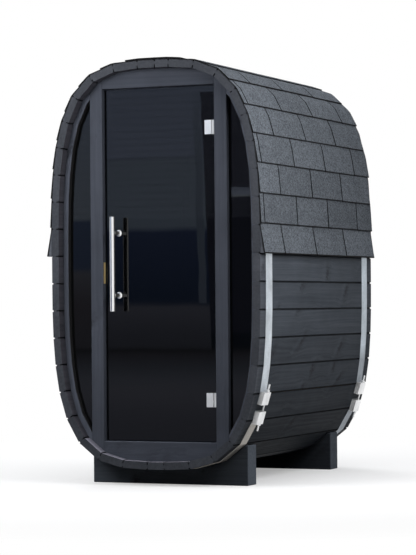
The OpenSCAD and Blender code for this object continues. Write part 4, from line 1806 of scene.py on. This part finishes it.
COURSES = shingle_tree()
print("tree:", COURSES.name, "with", len(COURSES.nodes), "nodes")

# %% Shingles on both sides and over the crown
EXPOSURE = 0.147
HEADLAP = 0.020
BUTT = (0.0042, 0.0100)
HEAD = (0.0029, 0.0035)
CROWN_EDGE = (0.0052, 0.0120)
CROWN_REACH = 0.150
FIRST_TAB = 0.272
SHIFTED_TAB = 0.050
FIXED = {"Headlap": HEADLAP, "Tab": TAB_WIDTH, "Slot": SLOT, "Shifted": SHIFTED_TAB,
         "Front": RIM_Y, "Length": LENGTH, "Material": SHINGLE}


def lay_shingles(name, line, side, seed, rows, first, exposure, butt, head, *nodes):
    """Lays courses along a line of points, and hands them over."""
    mesh = bpy.data.meshes.new(name)
    mesh.from_pydata([(p.x, 0, p.y) for p in line], [(i, i + 1) for i in range(len(line) - 1)], [])
    values = {"Rows": rows, "Exposure": exposure, "First": first, "Side": float(side),
              "Run": length_of(line), "Butt": (*butt, 0.0), "Head": (*head, 0.0), "Seed": seed}
    piece(grow(name, mesh, COURSES, {**FIXED, **values}), "cabin", "shingle", SHINGLE, *nodes)


def from_crown(line, reach):
    """The end of a line, back to a point at a given reach from its last point."""
    kept = [line[-1]]
    for a in reversed(line[:-1]):
        step = (a - kept[-1]).length
        if step >= reach:
            return [kept[-1] + (a - kept[-1]) * (reach / step)] + kept[::-1]
        reach -= step
        kept.append(a)
    return kept[::-1]


ROWS = int((length_of(LINE) - CROWN_REACH) / EXPOSURE) + 1
SIDE_COURSES = (ROWS, FIRST_TAB, EXPOSURE, BUTT, HEAD)
CROWN_COURSE = (1, SHIFTED_TAB, 2 * CROWN_REACH - HEADLAP, CROWN_EDGE, CROWN_EDGE)
left_line = [mirrored(p) for p in LINE]
crown_line = both_sides(from_crown(LINE, CROWN_REACH))
lay_shingles("right_shingles", LINE, 1, 80, *SIDE_COURSES, "right_roof")
lay_shingles("left_shingles", left_line, -1, 90, *SIDE_COURSES, "left_roof")
lay_shingles("crown_shingles", crown_line, 1, 95, *CROWN_COURSE)

# %% [markdown]
# ## Bands and tensioners
#
# Two flat steel bands hold the boards together, as hoops hold a cask. On the right side each is
# open, and a threaded rod through two folded lugs draws its ends together. The bands of the
# construction model are right as they are and take the zinc finish. The rods are lathed with a real
# thread, one ridge a turn, and nuts and washers sit on the lugs.

# %% Threaded rods and nuts
TENSION_Z = 0.392
LUG_GAP = 0.034
LUG_LENGTH = 0.064
LUG_END = LUG_GAP / 2 + LUG_LENGTH
LUG_RISE = 0.024
BAND_THICK = 0.0015
BAND_WIDTH = 0.082
ROD_RADIUS = 0.005
ROD_PAST = 0.038
ROD_BACK = 0.018
ROD_SIDES = 12
THREAD_PITCH = 0.0015
THREAD_DEPTH = 0.0007
NUT_FLATS = 0.017
NUT_THICK = 0.008
NUT_BREAK = 0.0008
NUT_WASHER = (0.0105, 0.0016)
WASHER_EASE = 0.0003
WASHER_SIDES = 24
WALL_STEP = 0.001


def tensioner(band_y):
    """A frame on the wall at the rod: z runs up along the wall and x points out of it."""
    above, under = wall_x(TENSION_Z + WALL_STEP), wall_x(TENSION_Z - WALL_STEP)
    slope = math.atan2(above - under, 2 * WALL_STEP)
    place = Vector((wall_x(TENSION_Z), band_y, TENSION_Z))
    shift = Vector((BAND_THICK + LUG_RISE / 2, BAND_WIDTH - ROD_BACK, 0))
    return (Matrix.Translation(place) @ Matrix.Rotation(slope, 4, "Y")
            @ Matrix.Translation(shift))


def thread_profile(half):
    root = ROD_RADIUS - THREAD_DEPTH
    points = [(0, -half), (root, -half)]
    for i in range(int(2 * half / THREAD_PITCH)):
        z = -half + (i + 0.5) * THREAD_PITCH
        points += [(ROD_RADIUS, z), (root, z + THREAD_PITCH / 2)]
    points[-1] = (root, half)
    return points + [(0, half)]


def add_nut(bm, place, z):
    radius = NUT_FLATS / 2 / math.cos(math.pi / 6)
    made = bmesh.ops.create_cone(bm, cap_ends=True, segments=6, radius1=radius, radius2=radius,
                                 depth=NUT_THICK, matrix=place @ Matrix.Translation((0, 0, z))
                                 @ rotation(30, "Z"))
    round_edges(bm, {e for v in made["verts"] for e in v.link_edges}, NUT_BREAK)


def add_rod(bm, place):
    """A threaded rod with a washer and a nut at the outer end of each lug."""
    lathe(bm, thread_profile(LUG_END + ROD_PAST), place, ROD_SIDES)
    for side in (-1, 1):
        add_nut(bm, place, side * (LUG_END + NUT_WASHER[1] + NUT_THICK / 2))
        foot = Matrix.Translation((0, 0, side * LUG_END))
        if side < 0:
            foot = foot @ rotation(180, "X")
        lathe(bm, disc(*NUT_WASHER, WASHER_EASE), place @ foot, WASHER_SIDES)


print("the rods' thread has", int(2 * (LUG_END + ROD_PAST) / THREAD_PITCH), "turns")

# %% Bands, lugs and tension rods
LUG_ARRIS = 0.0012


def make_tensioner(end, band_finish):
    finish_as_it_is(end + "_band", band_finish)
    place = tensioner(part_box(end + "_band")[0][1])
    rod = turned(end + "_threaded_rod", lambda bm: add_rod(bm, place))
    piece(rod, "cabin", "zinc", PLATED, end + "_tension_rod")
    for level in ("upper", "lower"):
        node = f"{end}_{level}_lug"
        lug = plain_copy(node, f"{end}_{level}_folded_lug", LUG_ARRIS, 2)
        piece(lug, "cabin", "zinc", PLATED, node)


make_tensioner("front", BAND_ZINC)
make_tensioner("rear", REAR_ZINC)

# %% [markdown]
# ## Cradles
#
# Two thick beams, hollowed to the barrel's round, carry everything. They are cut from solid timber,
# so their ends show end grain, and a plane has taken the corners off.

# %% Cradles
CRADLE_EASE = 0.003
# The seed gives the front beam a pale tone and the rear beam a dark one: painted shade at the rear.
CRADLE_SEED = 58
# Painted light: the beams' end faces are painted paler by this factor.
END_LIGHT = 1.70
# Painted shade: the rear beam's front faces are painted darker by this factor.
UNDER_BARREL_SHADE = 0.62


def painted_shade_under_barrel(face):
    """Under the barrel the front faces are painted darker: painted shade."""
    return UNDER_BARREL_SHADE if looks_forward(face) else painted_top_light(face)


def make_cradles():
    for i, (node, shade_of) in enumerate((("front_cradle", painted_top_light),
                                          ("rear_cradle", painted_shade_under_barrel))):
        beam = plain_copy(node, node + "_beam", CRADLE_EASE)
        give_grain(beam, 0, CRADLE_SEED + i, END_LIGHT, shade_of)
        piece(beam, "cabin", "stained_timber", BEAM, node)


make_cradles()

# %% [markdown]
# ## Sizes
#
# The detailed model's box is compared with the construction model's, corner by corner, and the
# difference is printed in millimetres. The detailed model may not outgrow the construction
# model.

# %% Compare the boxes
model_box = [list(corner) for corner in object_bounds()]
corner_pairs = zip(cad_box[0] + cad_box[1], model_box[0] + model_box[1])
grown_by = [round(1000 * (b - a), 2) for a, b in corner_pairs]
print("model box less construction box, in mm:", grown_by)
